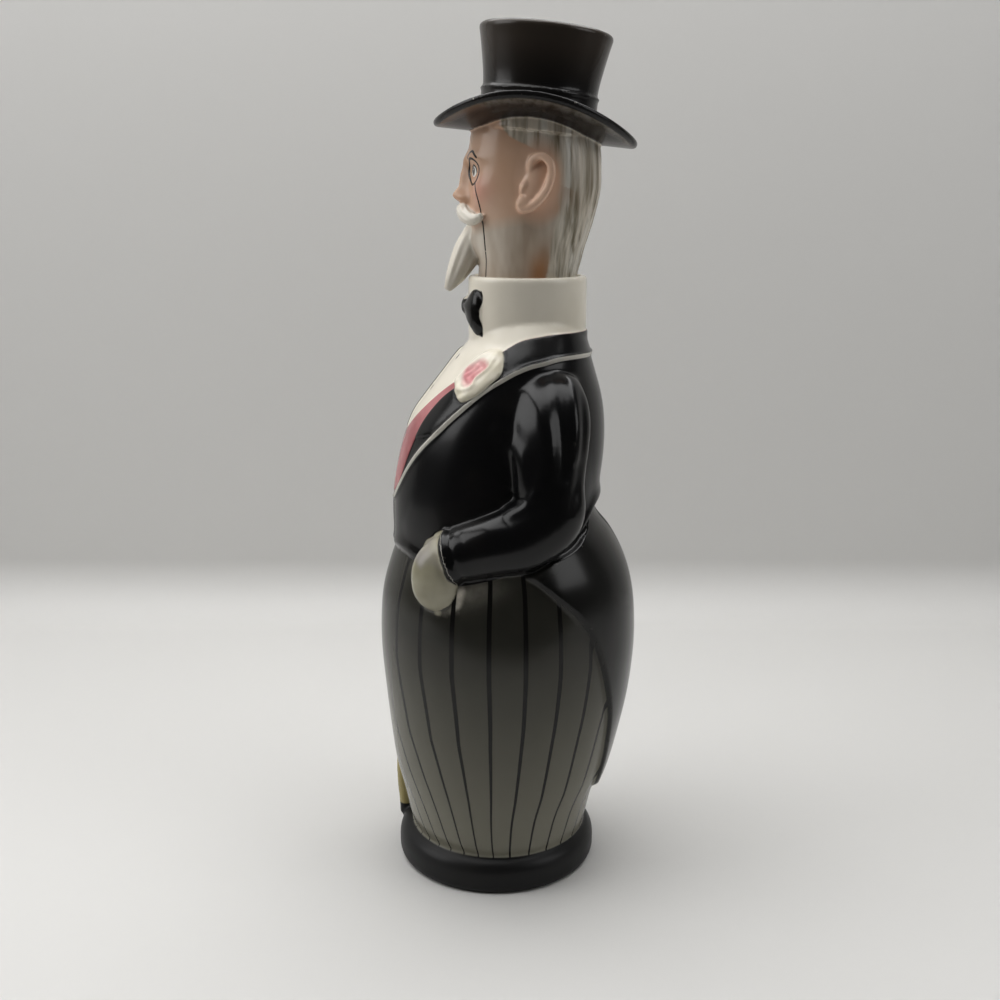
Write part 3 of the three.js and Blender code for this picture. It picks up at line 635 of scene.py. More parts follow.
def bottleFields(points):
    # signed distances in millimetres, positive inside the painted patch
    coatTurn, coatHeight, _ = coat.place(points)
    legTurn, legHeight, _ = trousers.place(points)
    hemHeight = tableAt(hemLine, coatTurn)[:, 1]
    above = (coatHeight - hemHeight) * bodyUnit
    sleeve, cuff, hand = (limbGap(limbs, points) for limbs in (sleeves, cuffs, hands))
    fields = {"hem": above, "sleeve": sleeve + 0.35, "cuff": cuff, "hand": np.maximum(hand, cuff) + 0.3}
    for name, rows in (("piping", pipingLine), ("lapel", lapelLine), ("waistcoat", waistcoatLine)):
        side = np.sign(coatHeight - tableAt(rows, coatTurn)[:, 1])
        fields[name] = lineGap(points, coat, rows) * side
    edge = tableAt(tailLine, np.clip(legHeight, tailLine[0][0], tailLine[-1][0]))[:, 1]
    tailSide = np.where((legTurn > edge) & (legHeight > tailLine[0][0]), 1.0, -1.0)
    fields["tail"] = lineGap(points, trousers, [(turn, height) for height, turn in tailLine]) * tailSide
    fields["tailSplit"] = 0.55 - np.abs(points[:, 0]) - 10 * (points[:, 1] < 0)
    fields["plinth"] = plinthTop + 0.35 - points[:, 2]
    knobGap = knobRadius + 0.2 - np.linalg.norm(points - knobPlace, axis=1)
    fields["cane"] = np.maximum(cane.gap(points), knobGap) + 0.25
    spot = flat(coatTurn, coatHeight)
    farSide = np.where(points[:, 0] > 0, 0, 50)
    for name, rows in (("flower", flowerLine), ("heart", heartLine)):
        fields[name] = np.maximum(patchGap(spot, flat(*roundedLoop(rows).T)), -20) - farSide
    fields["ruffle"] = pathGap(spot, flat(*lineThrough(ruffleLine, 80).T)) + farSide
    fields["flowerSpot"] = spot
    bowTurn = np.degrees(np.arctan2(points[:, 0], figure["neckSetback"] - points[:, 1]))
    neckRadius = np.hypot(points[:, 0], points[:, 1] - figure["neckSetback"])
    rise = (points[:, 2] - rimHeight) / bodyUnit - bowMiddle(bowTurn)
    bowUp = bowHalf(bowTurn) - np.abs(rise)
    bowNotch = bow["notch"] * bell(rise / bow["endHalf"], 0.3)
    perDegree = 0.39   # millimetres round the collar
    fields["bow"] = np.minimum.reduce([
        bowUp * bodyUnit + 0.3, (bow["halfTurn"] + 1 - bowNotch - np.abs(bowTurn)) * perDegree,
        (neckRadius - collarRadius) * 1.4 + 0.25])
    fields["collarFoot"] = neckRadius - collarRadius - 1.5
    fields["middle"] = np.abs(points[:, 0])
    studs = [coat.point(np.array(turn), np.array(height)) for turn, height in ((15, 86.7), (7, 81.3))]
    stretch = [1, 0.5, 0.45]
    studGaps = [np.linalg.norm((points - stud) * stretch, axis=1) for stud in studs]
    fields["stud"] = 0.7 - np.minimum.reduce(studGaps)
    # how far each point lies from its sleeve's end, which places the painted highlight on the sleeve's turned
    # hem
    sleeveLeft = []
    for limb in sleeves:
        near = nearest(points, limb.samples[0])[0]
        steps = np.linalg.norm(np.diff(limb.samples[0], axis=0), axis=1)
        left = np.append(np.cumsum(steps[::-1])[::-1], 0)
        sleeveLeft.append(np.where(limb.gap(points) > -2.5, left[near], 50))
    fields["sleeveToEnd"] = np.minimum.reduce(sleeveLeft)
    footPlace = trousers.point(np.array(-13.0), np.array(-1.0), 2.7 * bodyUnit)
    fields["caneFoot"] = 2.6 - np.linalg.norm(points - footPlace, axis=1)
    pocketGap = 2.2 - nearest(points, pocketEdge.samples[0])[1]
    under = bell(np.maximum(hemHeight - legHeight, 0) - 1.0, 1.6) * bell(legTurn - 66, 14)
    fields["smear"] = np.clip((1.5 * smoothStep(pocketGap / 2.0) + 0.5 * under) * (points[:, 0] > 0), 0, 2)
    # the stripes draw together towards the foot, the front ones more than the back ones
    heights, upright, first = (0.5, 12, 23, 36), 92, 82.9
    front = np.interp(legHeight, heights, (0.58, 0.72, 0.91, 1))
    back = np.interp(legHeight, heights, (0.8, 0.9, 0.93, 1))
    fan = upright + (legTurn - upright) / np.where(legTurn < upright, front, back)
    fields["stripe"] = (fan - first) / np.where(fan < first, 16.58, 15.6)
    fields["stripeHalf"] = np.interp(legHeight, (0, 12, 30, 45), (0.045, 0.05, 0.062, 0.066))
    fields["turn"] = coatTurn
    fields["height"] = coatHeight
    return fields


def makeBottle():
    forms = [makePlinth(), makeTrousers(), makeCoat(), makeCollar(), *makeBow()]
    forms += [limb.form("sleeve", 48, 140, sleeveEdge) for limb in sleeves]
    forms += [limb.form("hand", 40, 40) for limb in hands]
    forms += [pocketEdge.form("pocket edge", 16, 60), cane.form("cane", 24, 90), caneWeb.form("web", 16, 40)]
    forms.append(makeKnob())
    forms += [limb.form("cuff", 32, 12) for limb in cuffs] + makeFlower()
    body = castTogether(joinForms("decanter_body", forms), bottle["grain"], bottle["softness"])
    print("bottle cast:", len(body.data.vertices), "points")

    # the upper sleeve flows out of the shoulder
    points = readPoints(body.data)
    height = (points[:, 2] - plinthTop) / bodyUnit
    seam = bell(limbGap(sleeves, points), 2.6) * smoothStep((height - 66) / 6) * smoothStep((86 - height) / 2)
    softenWhere(body, seam, 70)

    points, normals = readPoints(body.data), readNormals(body.data)
    field = bottleFields(points)
    clearOfFlower = smoothStep(-field["flower"] - 0.2)
    bare = smoothStep(-field["sleeve"]) * smoothStep(-field["hand"])
    below = smoothStep(0.4 - field["hem"])
    inFront, offPiping = points[:, 1] < 0, smoothStep(-field["piping"] / 2)
    tailRise = bottle["tailThickness"] * smoothStep(field["tail"] / 2.4 + 0.5) * below * bare
    split = -1.1 * bell(points[:, 0], 0.8) * (points[:, 1] > 0) * smoothStep(field["tail"] / 2) * below
    split -= 0.7 * bell(points[:, 0], 0.7) * inFront * below * smoothStep(-field["plinth"] / 2)
    lapelRise = smoothStep(0.5 - field["lapel"] / 0.9) * smoothStep(0.5 + field["piping"] / 0.9)
    lapelRise *= bottle["lapelThickness"]
    lapelRise *= smoothStep((field["height"] - 73.6 - 0.08 * (field["turn"] - 30)) / 0.5)
    pipingRise = bottle["pipingHeight"] * bell(field["piping"], bottle["pipingWidth"] * 0.75)
    frontEdge = 0.5 * bell(points[:, 0] - 1.5, 0.8) * inFront * offPiping
    placket = smoothStep(field["waistcoat"] / 2) * smoothStep(field["collarFoot"] / 2)
    frontEdge += 0.6 * bell(points[:, 0], 0.7) * placket
    vest = 0.35 * smoothStep(0.5 - field["waistcoat"] / 0.8) * smoothStep(0.5 + field["lapel"] / 0.8)
    onTop = smoothStep((field["hem"] - 1) / 3)
    rise = (lapelRise + pipingRise + frontEdge + vest) * onTop * clearOfFlower
    rise = (rise + flowerRise(points, field)) * (field["bow"] < 0)
    folds = foldRise(points) * smoothStep(field["hem"] - 0.5) * offPiping
    writePoints(body.data, points + normals * (tailRise + split + rise + folds)[:, None])
    softenWhere(body, np.maximum(bell(field["tail"], 2.0) * below, smoothStep(np.abs(folds) / 0.3)), 10)
    applyModifier(body, "SMOOTH", factor=0.4, iterations=1)
    thinTo(body, bottle["triangles"] - 6000)
    combine(body, makeCavity(), "DIFFERENCE")
    print("bottle hollowed:", len(body.data.polygons), "faces")

    points = readPoints(body.data)
    for name, values in bottleFields(points).items():
        if values.ndim == 1:
            keepField(body.data, name, values)
    keepEdges(body.data, points)
    middle, depth, width = trousers.section(np.clip((points[:, 2] - plinthTop) / bodyUnit, -3, 64))
    neck = np.hypot(points[:, 0], points[:, 1] - figure["neckSetback"])
    reach = np.hypot(points[:, 0] / width, (points[:, 1] - middle) / depth)
    height = points[:, 2]
    hidden = (neck < recessRadius - 0.3) & (height > seatHeight - 60) & (height < rimHeight - 1.5)
    hidden |= (reach < 0.93) & (height < plinthTop + 54 * bodyUnit) & (height > figure["floor"] - 0.5)
    keepField(body.data, "hidden", hidden)
    smoothShade(body)
    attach(body, "root")
    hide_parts("bottle_body")
    return body


# The head and its hat

headParts = {
    "grain": 0.5,
    "softness": 3,
    "wall": 4.0,
    "hairGroove": 0.16,
    "triangles": 170000,
}
hat = {
    "tilt": 6.2,             # degrees, tipped back
    "setback": 16.0,         # the rest in hundredths of the head's height
    "seat": 56.0,
    "radius": 23.1,
    "height": 39.8,
    "bandHeight": 16.4,
    "brimLength": 41.4,
    "brimWidth": 36.5,
    "curl": 12.4,
    "brimThickness": 2.8,    # millimetres
    "bandThickness": 0.6,
}
hatTurn = Matrix.Rotation(math.radians(-hat["tilt"]), 3, "X")
hatPlace = np.array([0, hat["setback"] * headUnit, rimHeight + hat["seat"] * headUnit])


def tipped(points):
    return points @ np.array(hatTurn).T + hatPlace


def untipped(points):
    return (points - hatPlace) @ np.array(hatTurn)


def brimRise(x, y):   # how far the brim curls up at a place in the hat's own plan
    width, length = hat["brimWidth"] * headUnit, hat["brimLength"] * headUnit
    across, ahead = x / width, -y / length
    share = np.clip(np.hypot(across, ahead), 1e-6, 1.02)
    return hat["curl"] * headUnit * (across / share) ** 2 * share ** 1.6 * (1 + 0.18 * ahead / share)


def makeCrown():
    radius, height = hat["radius"] * headUnit, hat["height"] * headUnit
    shape = [(0, 1), (0.3, 0.99), (0.5, 1.01), (0.68, 1.06), (0.86, 1.12), (0.96, 1.16)]
    edge = 1.6
    levels = np.linspace(0, 1 - edge / height, 30)
    profile = [(radius * tableAt(shape, share)[1], height * share) for share in levels]
    top = profile[-1][0]
    profile += [(top - edge + edge * math.cos(a), height - edge + edge * math.sin(a))
                for a in np.linspace(0.25, math.pi / 2, 6)]
    profile += [(top * 0.6, height + 0.25), (top * 0.3, height + 0.35)]
    crown = turnedForm("crown", profile, around=128)
    bandTop = hat["bandHeight"] * headUnit
    bandRadius = radius + hat["bandThickness"]
    band = turnedForm("band", [
        (bandRadius, 0), (bandRadius * 0.99, bandTop * 0.5), (bandRadius * 0.99, bandTop - 1.8),
        (bandRadius + 0.3, bandTop - 1.0), (bandRadius - 0.6, bandTop)], around=128)
    for form in (crown, band):
        writePoints(form.data, tipped(readPoints(form.data)))
    return [crown, band]


def makeBrim():
    width, length = hat["brimWidth"] * headUnit, hat["brimLength"] * headUnit
    half = hat["brimThickness"] / 2
    edge = np.linspace(-math.pi / 2, math.pi / 2, 9)
    rows = [(0.4, -half), (0.6, -half), (0.78, -half), (0.9, -half)]
    rows += [(1 - half / length + half / length * math.cos(a), half * math.sin(a)) for a in edge]
    rows += [(0.9, half), (0.78, half), (0.6, half), (0.4, half)]

    def place(turn, level):
        key = level * (len(rows) - 1)
        share, lift = (np.interp(key, range(len(rows)), column) for column in zip(*rows))
        a = np.radians(turn)
        x, y = width * share * np.sin(a), -length * share * np.cos(a)
        return tipped(np.stack([x, y, brimRise(x, y) + lift], -1))
    return ballForm("brim", 144, len(rows) + 1, place)


# Plain regular features: turn and height of the middle, spread in each, and how far they stand out.
featureRows = [
    (20, 46.6, 13, 2.0, 1.5), (20, 41.4, 8.5, 2.9, -2.3), (20, 41.2, 6.0, 1.9, 1.6), (36, 34.5, 13, 5, 1.3),
    (0, 42.5, 4.0, 4.5, 1.6), (0, 37.0, 4.4, 4.5, 3.2), (0, 31.8, 5.2, 2.2, 5.0), (8, 30.6, 3.6, 1.8, 2.4),
    (0, 25.6, 15, 2.4, 1.6), (0, 23.2, 10, 0.8, -0.8), (0, 21.3, 8, 1.2, 1.6), (0, 18.6, 10, 1.2, -0.8),
    (0, 13.6, 13, 3.6, 3.0), (0, 6.0, 22, 2.6, -1.2),
]
hairLine = [(-5, 112), (10, 112), (30, 110), (44, 107), (48, 95), (51, 80), (54, 68), (58, 58)]
tuftRows = [(0, -7.4, 17.6, 5.6, 5.4), (0, -11.2, 10.2, 5.6, 5.9), (0, -15.1, 3.0, 4.1, 4.8),
            (0, -18.2, -2.5, 2.8, 3.2), (0, -20.3, -6.2, 1.3, 1.5)]
moustacheRows = [(-0.4, -13.8, 27.0, 1.8, 1.9), (3.2, -13.6, 26.2, 2.3, 2.6), (8.0, -12.0, 24.0, 2.4, 2.9),
                 (12.6, -8.9, 22.6, 2.0, 2.4), (16.4, -5.4, 24.2, 1.0, 1.2)]
earRows = [(21.8, 13.6, 41.0, 1.7, 1.6), (23.4, 14.4, 45.2, 1.8, 1.7), (25.2, 18.0, 46.6, 1.8, 1.7),
           (26.0, 21.2, 43.6, 1.8, 1.7), (25.8, 21.2, 38.0, 1.8, 1.7), (25.0, 18.8, 32.4, 1.8, 1.7),
           (24.0, 14.4, 28.0, 1.8, 1.8), (22.4, 10.2, 27.0, 1.8, 1.9)]
# Bowls inside the ear's rim: place, then half sizes across, ahead and up.
bowlRows = [(22.2, 16.2, 36.4, 1.9, 5.2, 10.0), (23.0, 11.2, 28.8, 1.9, 3.0, 3.6),
            (22.8, 11.0, 35.2, 1.4, 1.2, 2.8), (23.0, 17.6, 39.0, 0.9, 1.5, 6.5)]
earLean = math.radians(24)   # how far the ears lean back
tuft = Limb(tuftRows, headUnit, rimHeight)
moustaches = bothSides(moustacheRows, headUnit, rimHeight)
earRims = bothSides(earRows, headUnit, rimHeight)


def faceRelief(turn, height):
    turn = np.minimum(turn, 360 - turn)
    total = 0.0
    for side, level, across, tall, amount in featureRows:
        near = bell(turn - side, across) + (bell(turn + side, across) if side > 0 else 0)
        total = total + amount * near * bell(height - level, tall)
    return total


def makeSkull():
    def place(turn, level):
        height = -2 + (64 + 2) * level
        # closer points round the face
        bent = turn - 14 * np.sin(np.radians(turn))
        return head.point(bent, height, faceRelief(bent, height) * headUnit)
    return ballForm("skull", 240, 150, place)


def makeEar(sign, rim):
    forms = [rim.form("ear rim", 24, 70)]
    cosine, sine = math.cos(earLean), math.sin(earLean)
    for x, y, z, w, d, h in bowlRows:
        def place(turn, level, x=x, y=y, z=z, w=w, d=d, h=h):
            t, b = np.radians(turn), (level - 0.5) * math.pi
            ahead, up = -d * np.cos(b) * np.cos(t), h * np.sin(b)
            spot = [sign * x + w * np.cos(b) * np.sin(t), y + ahead * cosine + up * sine,
                    z - ahead * sine + up * cosine]
            return np.stack(spot, -1) * headUnit + [0, 0, rimHeight]
        forms.append(ballForm("ear bowl", 32, 24, place))
    return forms


def makeNeck():
    foot, radius = seatHeight + 0.3, recessRadius - 0.5
    spigot, end = mouthRadius - 0.5, seatHeight + 0.3 - 18
    return turnedForm("neck", [
        (spigot - 1.5, end), (spigot - 0.4, end + 0.6), (spigot, end + 1.5), (spigot, foot - 0.2),
        (spigot + 0.2, foot), (radius - 0.4, foot), (radius, foot + 0.4), (radius, rimHeight - 1),
    ], around=96, y=figure["neckSetback"])


def makeHeadCavity():
    heights = (8, 20, 34, 46, 54)
    room = ballForm("room", 48, len(heights) + 1, lambda turn, level: head.point(
        turn, np.interp(level, np.linspace(0, 1, len(heights)), heights), -headParts["wall"]))
    channel = mouthRadius - 0.5 - headParts["wall"] * 0.6
    bore = turnedForm("bore", [(channel, seatHeight - 24), (channel, rimHeight + 14 * headUnit)], around=48,
                      y=figure["neckSetback"])
    radius, height, wall = hat["radius"] * headUnit, hat["height"] * headUnit, headParts["wall"]
    crown = turnedForm("crown room", [(radius - wall * 1.6, -8 * headUnit), (radius - wall, height * 0.5),
                                      (radius - wall, height - wall)], around=48)
    writePoints(crown.data, tipped(readPoints(crown.data)))
    for other in (bore, crown):
        combine(room, other, "UNION")
    return room


faceDegree = 0.38   # millimetres round the face for a degree of turn


def ellipse(turn, height, middle, radii, scale):
    return (1 - np.hypot((turn - middle[0]) / radii[0], (height - middle[1]) / radii[1])) * scale


def paintedLine(turn, height, rows, halfWidth):   # a brush line over the face: rows are turn, height
    scale = np.array([faceDegree, headUnit])
    gap = nearest(np.stack([turn, height], -1) * scale, lineThrough(rows, 120) * scale)[1]
    return halfWidth - gap


def headFields(points):
    turn, height, _ = head.place(points)
    signed = np.where(points[:, 0] < 0, -turn, turn)
    plan = untipped(points)
    rise = brimRise(plan[:, 0], plan[:, 1])
    fields = {"turn": turn, "height": height}
    fields["hat"] = plan[:, 2] - rise + hat["brimThickness"] / 2 + 0.1
    bandTop = hat["bandHeight"] * headUnit
    # height above the band, which sets the painted sheen on the upper crown
    fields["hatLevel"] = plan[:, 2] - bandTop
    share = np.hypot(plan[:, 0] / (hat["brimWidth"] * headUnit), plan[:, 1] / (hat["brimLength"] * headUnit))
    fields["underBrim"] = np.minimum((0.9 - share) * 20, rise - plan[:, 2] - 0.3)
    fields["hair"] = (turn - tableAt(hairLine, np.clip(height, -5, 58))[:, 1]) * faceDegree
    beardTop = np.interp(turn, (0, 12, 24, 45, 70, 100, 120), (19.5, 19.5, 18.5, 20, 22, 24, 25))
    fields["beard"] = (beardTop - height) * headUnit
    mirrored = (points - [0, 0, rimHeight]) / headUnit
    mirrored[:, 0] = np.abs(mirrored[:, 0])
    earRoom = 1 - np.hypot.reduce((mirrored - [22.6, 17.4, 37]) / [3.4, 6.2, 10.6], axis=1)
    fields["ear"] = np.maximum(limbGap(earRims, points), earRoom) + 0.4
    fields["tuft"] = tuft.gap(points) + 0.4
    fields["moustache"] = limbGap(moustaches, points) + 0.35
    eye = (20, 41.2)
    fields["eyeWhite"] = ellipse(turn, height, eye, (6.6, 2.1), 2.4)
    fields["iris"] = ellipse(turn, height, (19.5, 41.3), (2.9, 1.7), 1.3)
    lid = [(12.8, 41.0), (16.5, 43.0), (21, 43.6), (25, 42.6), (27.6, 40.8)]
    brow = [(10.5, 46.4), (16, 48.4), (23, 48.9), (31, 46.6)]
    cord = [(27, 36.8), (33, 30), (37, 21), (38, 11), (34, 3), (31, -3)]
    fields["lid"] = paintedLine(turn, height, lid, 0.34)
    fields["brow"] = paintedLine(turn, height, brow, 0.42)
    fields["cord"] = paintedLine(signed, height, cord, 0.36)
    ring = np.hypot((signed - eye[0]) * faceDegree, (height - eye[1]) * headUnit)
    fields["monocle"] = 0.42 - np.abs(ring - 4.6)
    fields["glint"] = ellipse(turn, height, (17.6, 42.0), (0.9, 0.55), 0.4)
    # painted shade: in the ear's bowl, and in a crescent behind the ear
    out, back, up = (mirrored - [23.0, 17.4, 37.5]).T
    acrossEar = back * math.cos(earLean) - up * math.sin(earLean)
    alongEar = back * math.sin(earLean) + up * math.cos(earLean)
    fields["earBowlShade"] = (1 - np.hypot.reduce([out / 2.6, acrossEar / 2.6, alongEar / 8.0], axis=0)) * 2.4
    shade = bell(np.hypot(acrossEar + 1, alongEar) - 12, 2.2)
    fields["earShade"] = shade * (alongEar < 2) * smoothStep((acrossEar + 3) / 4)
    fields["lips"] = ellipse(turn, height, (0, 22.2), (9, 1.7), 1.4)
    fields["cheek"] = bell(turn - 34, 11) * bell(height - 34, 4.5)
    fields["nape"] = bell(turn - 101, 9) * bell(height - 2, 6)
    onSkin = -50 * (np.maximum(fields["moustache"], fields["tuft"]) > 0)
    for line in ("monocle", "cord", "lid", "brow"):
        fields[line] = fields[line] + onSkin
    return fields


def strand(turn, level):   # the whiskers' locks
    return 0.28 * np.sin(np.radians(turn) * 9 + 5 * level) * np.sin(math.pi * level)


def makeHead():
    forms = [makeSkull(), makeNeck(), makeBrim(), *makeCrown()]
    for sign, rim in ((1, earRims[0]), (-1, earRims[1])):
        forms += makeEar(sign, rim)
    forms.append(tuft.form("tuft", 64, 60, strand))
    forms += [limb.form("moustache", 48, 50, strand) for limb in moustaches]
    top = castTogether(joinForms("stopper_head", forms), headParts["grain"], headParts["softness"])
    print("head cast:", len(top.data.vertices), "points")

    points, normals = readPoints(top.data), readNormals(top.data)
    field = headFields(points)
    turn, height = field["turn"], field["height"]
    onHair = smoothStep(field["hair"] / 1.5) * smoothStep(-field["hat"]) * smoothStep(-field["ear"] / 0.8)
    onHair = onHair * (points[:, 2] > rimHeight + 0.6)
    wave = turn + 2 * np.sin(height * 0.12) + 1.2 * np.sin(height * 0.23 + turn * 0.05)
    lock = np.sin(wave * 0.61) * 0.4 + np.sin(wave * 1.37 + 1.7) * 0.5 + 0.45 * np.sin(wave * 2.7 + 0.6)
    groove = headParts["hairGroove"] * lock * onHair * (0.5 + 0.5 * smoothStep((20 - height) / 18))
    writePoints(top.data, points + normals * groove[:, None])
    applyModifier(top, "SMOOTH", factor=0.35, iterations=1)
    thinTo(top, headParts["triangles"])
    combine(top, makeHeadCavity(), "DIFFERENCE")
    points = readPoints(top.data)
    for name, values in headFields(points).items():
        keepField(top.data, name, values)
    keepEdges(top.data, points)
    smoothShade(top)
    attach(top, "root")
    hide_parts("head_stopper")
    return top


# Glazes

colors = {   # what a painter would mix, as linear values
    "ivory": (0.78, 0.735, 0.64),
    "ivoryShade": (0.62, 0.575, 0.47),
    "coatBlack": (0.004, 0.004, 0.0045),
    "coatWorn": (0.011, 0.010, 0.009),
    "tailGrey": (0.011, 0.011, 0.010),
    "tailPale": (0.044, 0.040, 0.034),
    "trouserGrey": (0.026, 0.025, 0.020),
    "trouserPale": (0.036, 0.035, 0.028),
    "trouserLow": (0.235, 0.226, 0.180),
    "stripeBlack": (0.005, 0.0045, 0.004),
    "plinthBlack": (0.004, 0.004, 0.0045),
    # the grey of the piping, also used for the painted highlight on the sleeve hems
    "pipingAndHighlightGrey": (0.56, 0.54, 0.49),
    "waistcoatPink": (0.34, 0.115, 0.12),
    "waistcoatPale": (0.46, 0.19, 0.195),
    "petalCream": (0.74, 0.69, 0.56),
    "petalPink": (0.66, 0.27, 0.28),
    "petalPale": (0.76, 0.48, 0.45),
    "glove": (0.46, 0.435, 0.34),
    "gloveShade": (0.26, 0.245, 0.17),
    "caneOchre": (0.40, 0.34, 0.16),
    "bisque": (0.62, 0.58, 0.50),
    "skin": (0.60, 0.37, 0.24),
    "skinPale": (0.64, 0.47, 0.36),
    # darker skin, for the painted shade at the ears
    "skinShade": (0.36, 0.20, 0.12),
    "hair": (0.66, 0.61, 0.52),
    "hairPale": (0.74, 0.71, 0.64),
    "hairShade": (0.20, 0.175, 0.12),
    "whisker": (0.76, 0.72, 0.64),
    "jaw": (0.40, 0.34, 0.27),
    "earSkin": (0.80, 0.56, 0.42),
    "hatBlack": (0.010, 0.009, 0.009),
    "hatSheen": (0.022, 0.018, 0.014),
    # painted sheen on the upper crown
    "hatCrownSheen": (0.048, 0.038, 0.030),
    "hatBrown": (0.010, 0.0045, 0.0042),
    "rose": (0.62, 0.24, 0.21),
    "tan": (0.42, 0.20, 0.08),
    "violet": (0.30, 0.27, 0.42),
    "eyeWhite": (0.84, 0.82, 0.78),
    "eyeDark": (0.010, 0.008, 0.007),
}


glazing = {
    "coatWeight": 0.03,
    "coatRoughness": 0.05,
    "refraction": 1.42,
    "patchScale": 35,        # of the uneven gloss
    "patchAmount": 0.16,
    "waveScale": 55,         # of the uneven skin
    "waveDepth": 0.002,
    "chipScale": 420,
}


class Glaze:   # a glazed paint job: coats laid one over the other by their fields
    def __init__(self, name, roughness):
        self.roughness = roughness
        self.material = bpy.data.materials.new(name)
        self.material.use_nodes = True
        self.tree = self.material.node_tree
        self.shader = self.tree.nodes["Principled BSDF"]
        for socket, value in (("Coat Weight", "coatWeight"), ("Coat Roughness", "coatRoughness"),
                              ("IOR", "refraction")):
            self.shader.inputs[socket].default_value = glazing[value]
        self.top = None

    def node(self, kind, **settings):
        made = self.tree.nodes.new(kind)
        for key, value in settings.items():
            setattr(made, key, value)
        return made

    def link(self, source, target):
        self.tree.links.new(source, target)

    def field(self, name):
        return self.node("ShaderNodeAttribute", attribute_name=name).outputs["Fac"]

    def math(self, operation, *values, clamp=False):
        made = self.node("ShaderNodeMath", operation=operation, use_clamp=clamp)
        for socket, value in zip(made.inputs, values):
            if isinstance(value, (int, float)):
                socket.default_value = value
            else:
                self.link(value, socket)
        return made.outputs[0]

    def times(self, *values, clamp=False):
        return self.math("MULTIPLY", *values, clamp=clamp)

    def mask(self, source, softness, shift=0.0):   # 0 outside, 1 inside, with an edge as soft as the brush
        source = self.field(source) if isinstance(source, str) else source
        return self.math("MULTIPLY_ADD", source, 1 / softness, 0.5 + shift / softness, clamp=True)

    def chips(self, shift, strength):   # bare clay where sharp edges have lost their glaze
        spots = self.mask(self.noise(glazing["chipScale"], 2.0, 0.6), 0.06, shift)
        self.lay("bisque", self.times(self.times(self.field("edge"), spots), strength, clamp=True))

    def noise(self, scale, detail=3.0, roughness=0.5, stretch=(1, 1, 1)):
        mapping = self.node("ShaderNodeMapping")
        mapping.inputs["Scale"].default_value = stretch
        self.link(self.node("ShaderNodeTexCoord").outputs["Object"], mapping.inputs["Vector"])
        noise = self.node("ShaderNodeTexNoise")
        for socket, value in (("Scale", scale), ("Detail", detail), ("Roughness", roughness)):
            noise.inputs[socket].default_value = value
        self.link(mapping.outputs["Vector"], noise.inputs["Vector"])
        return noise.outputs["Fac"]

    def mottled(self, color, other, scale, low=0.4, high=0.6, stretch=(1, 1, 1)):
        ramp = self.node("ShaderNodeValToRGB")
        for stop, position, name in zip(ramp.color_ramp.elements, (low, high), (color, other)):
            stop.position, stop.color = position, (*colors[name], 1)
        self.link(self.noise(scale, stretch=stretch), ramp.inputs["Fac"])
        return ramp.outputs["Color"]

    def lay(self, color, mask=None):   # the next coat, over everything so far: a colour's name or a pattern
        if self.top is None:
            self.top = color
            return
        mix = self.node("ShaderNodeMix", data_type="RGBA")
        self.link(mask, mix.inputs[0])
        self.link(self.top, mix.inputs[6])
        if isinstance(color, str):
            mix.inputs[7].default_value = (*colors[color], 1)
        else:
            self.link(color, mix.inputs[7])
        self.top = mix.outputs[2]

    def finish(self, piece, waviness, dull=0.0):
        self.link(self.top, self.shader.inputs["Base Color"])
        patches = self.noise(glazing["patchScale"])
        patchy = self.math("MULTIPLY_ADD", patches, glazing["patchAmount"], self.roughness)
        self.link(self.math("ADD", patchy, dull), self.shader.inputs["Roughness"])
        bump = self.node("ShaderNodeBump")
        bump.inputs["Strength"].default_value = waviness
        bump.inputs["Distance"].default_value = glazing["waveDepth"]
        self.link(self.noise(glazing["waveScale"], detail=2.0), bump.inputs["Height"])
        for socket in ("Normal", "Coat Normal"):
            self.link(bump.outputs["Normal"], self.shader.inputs[socket])
        piece.data.materials.clear()
        piece.data.materials.append(self.material)


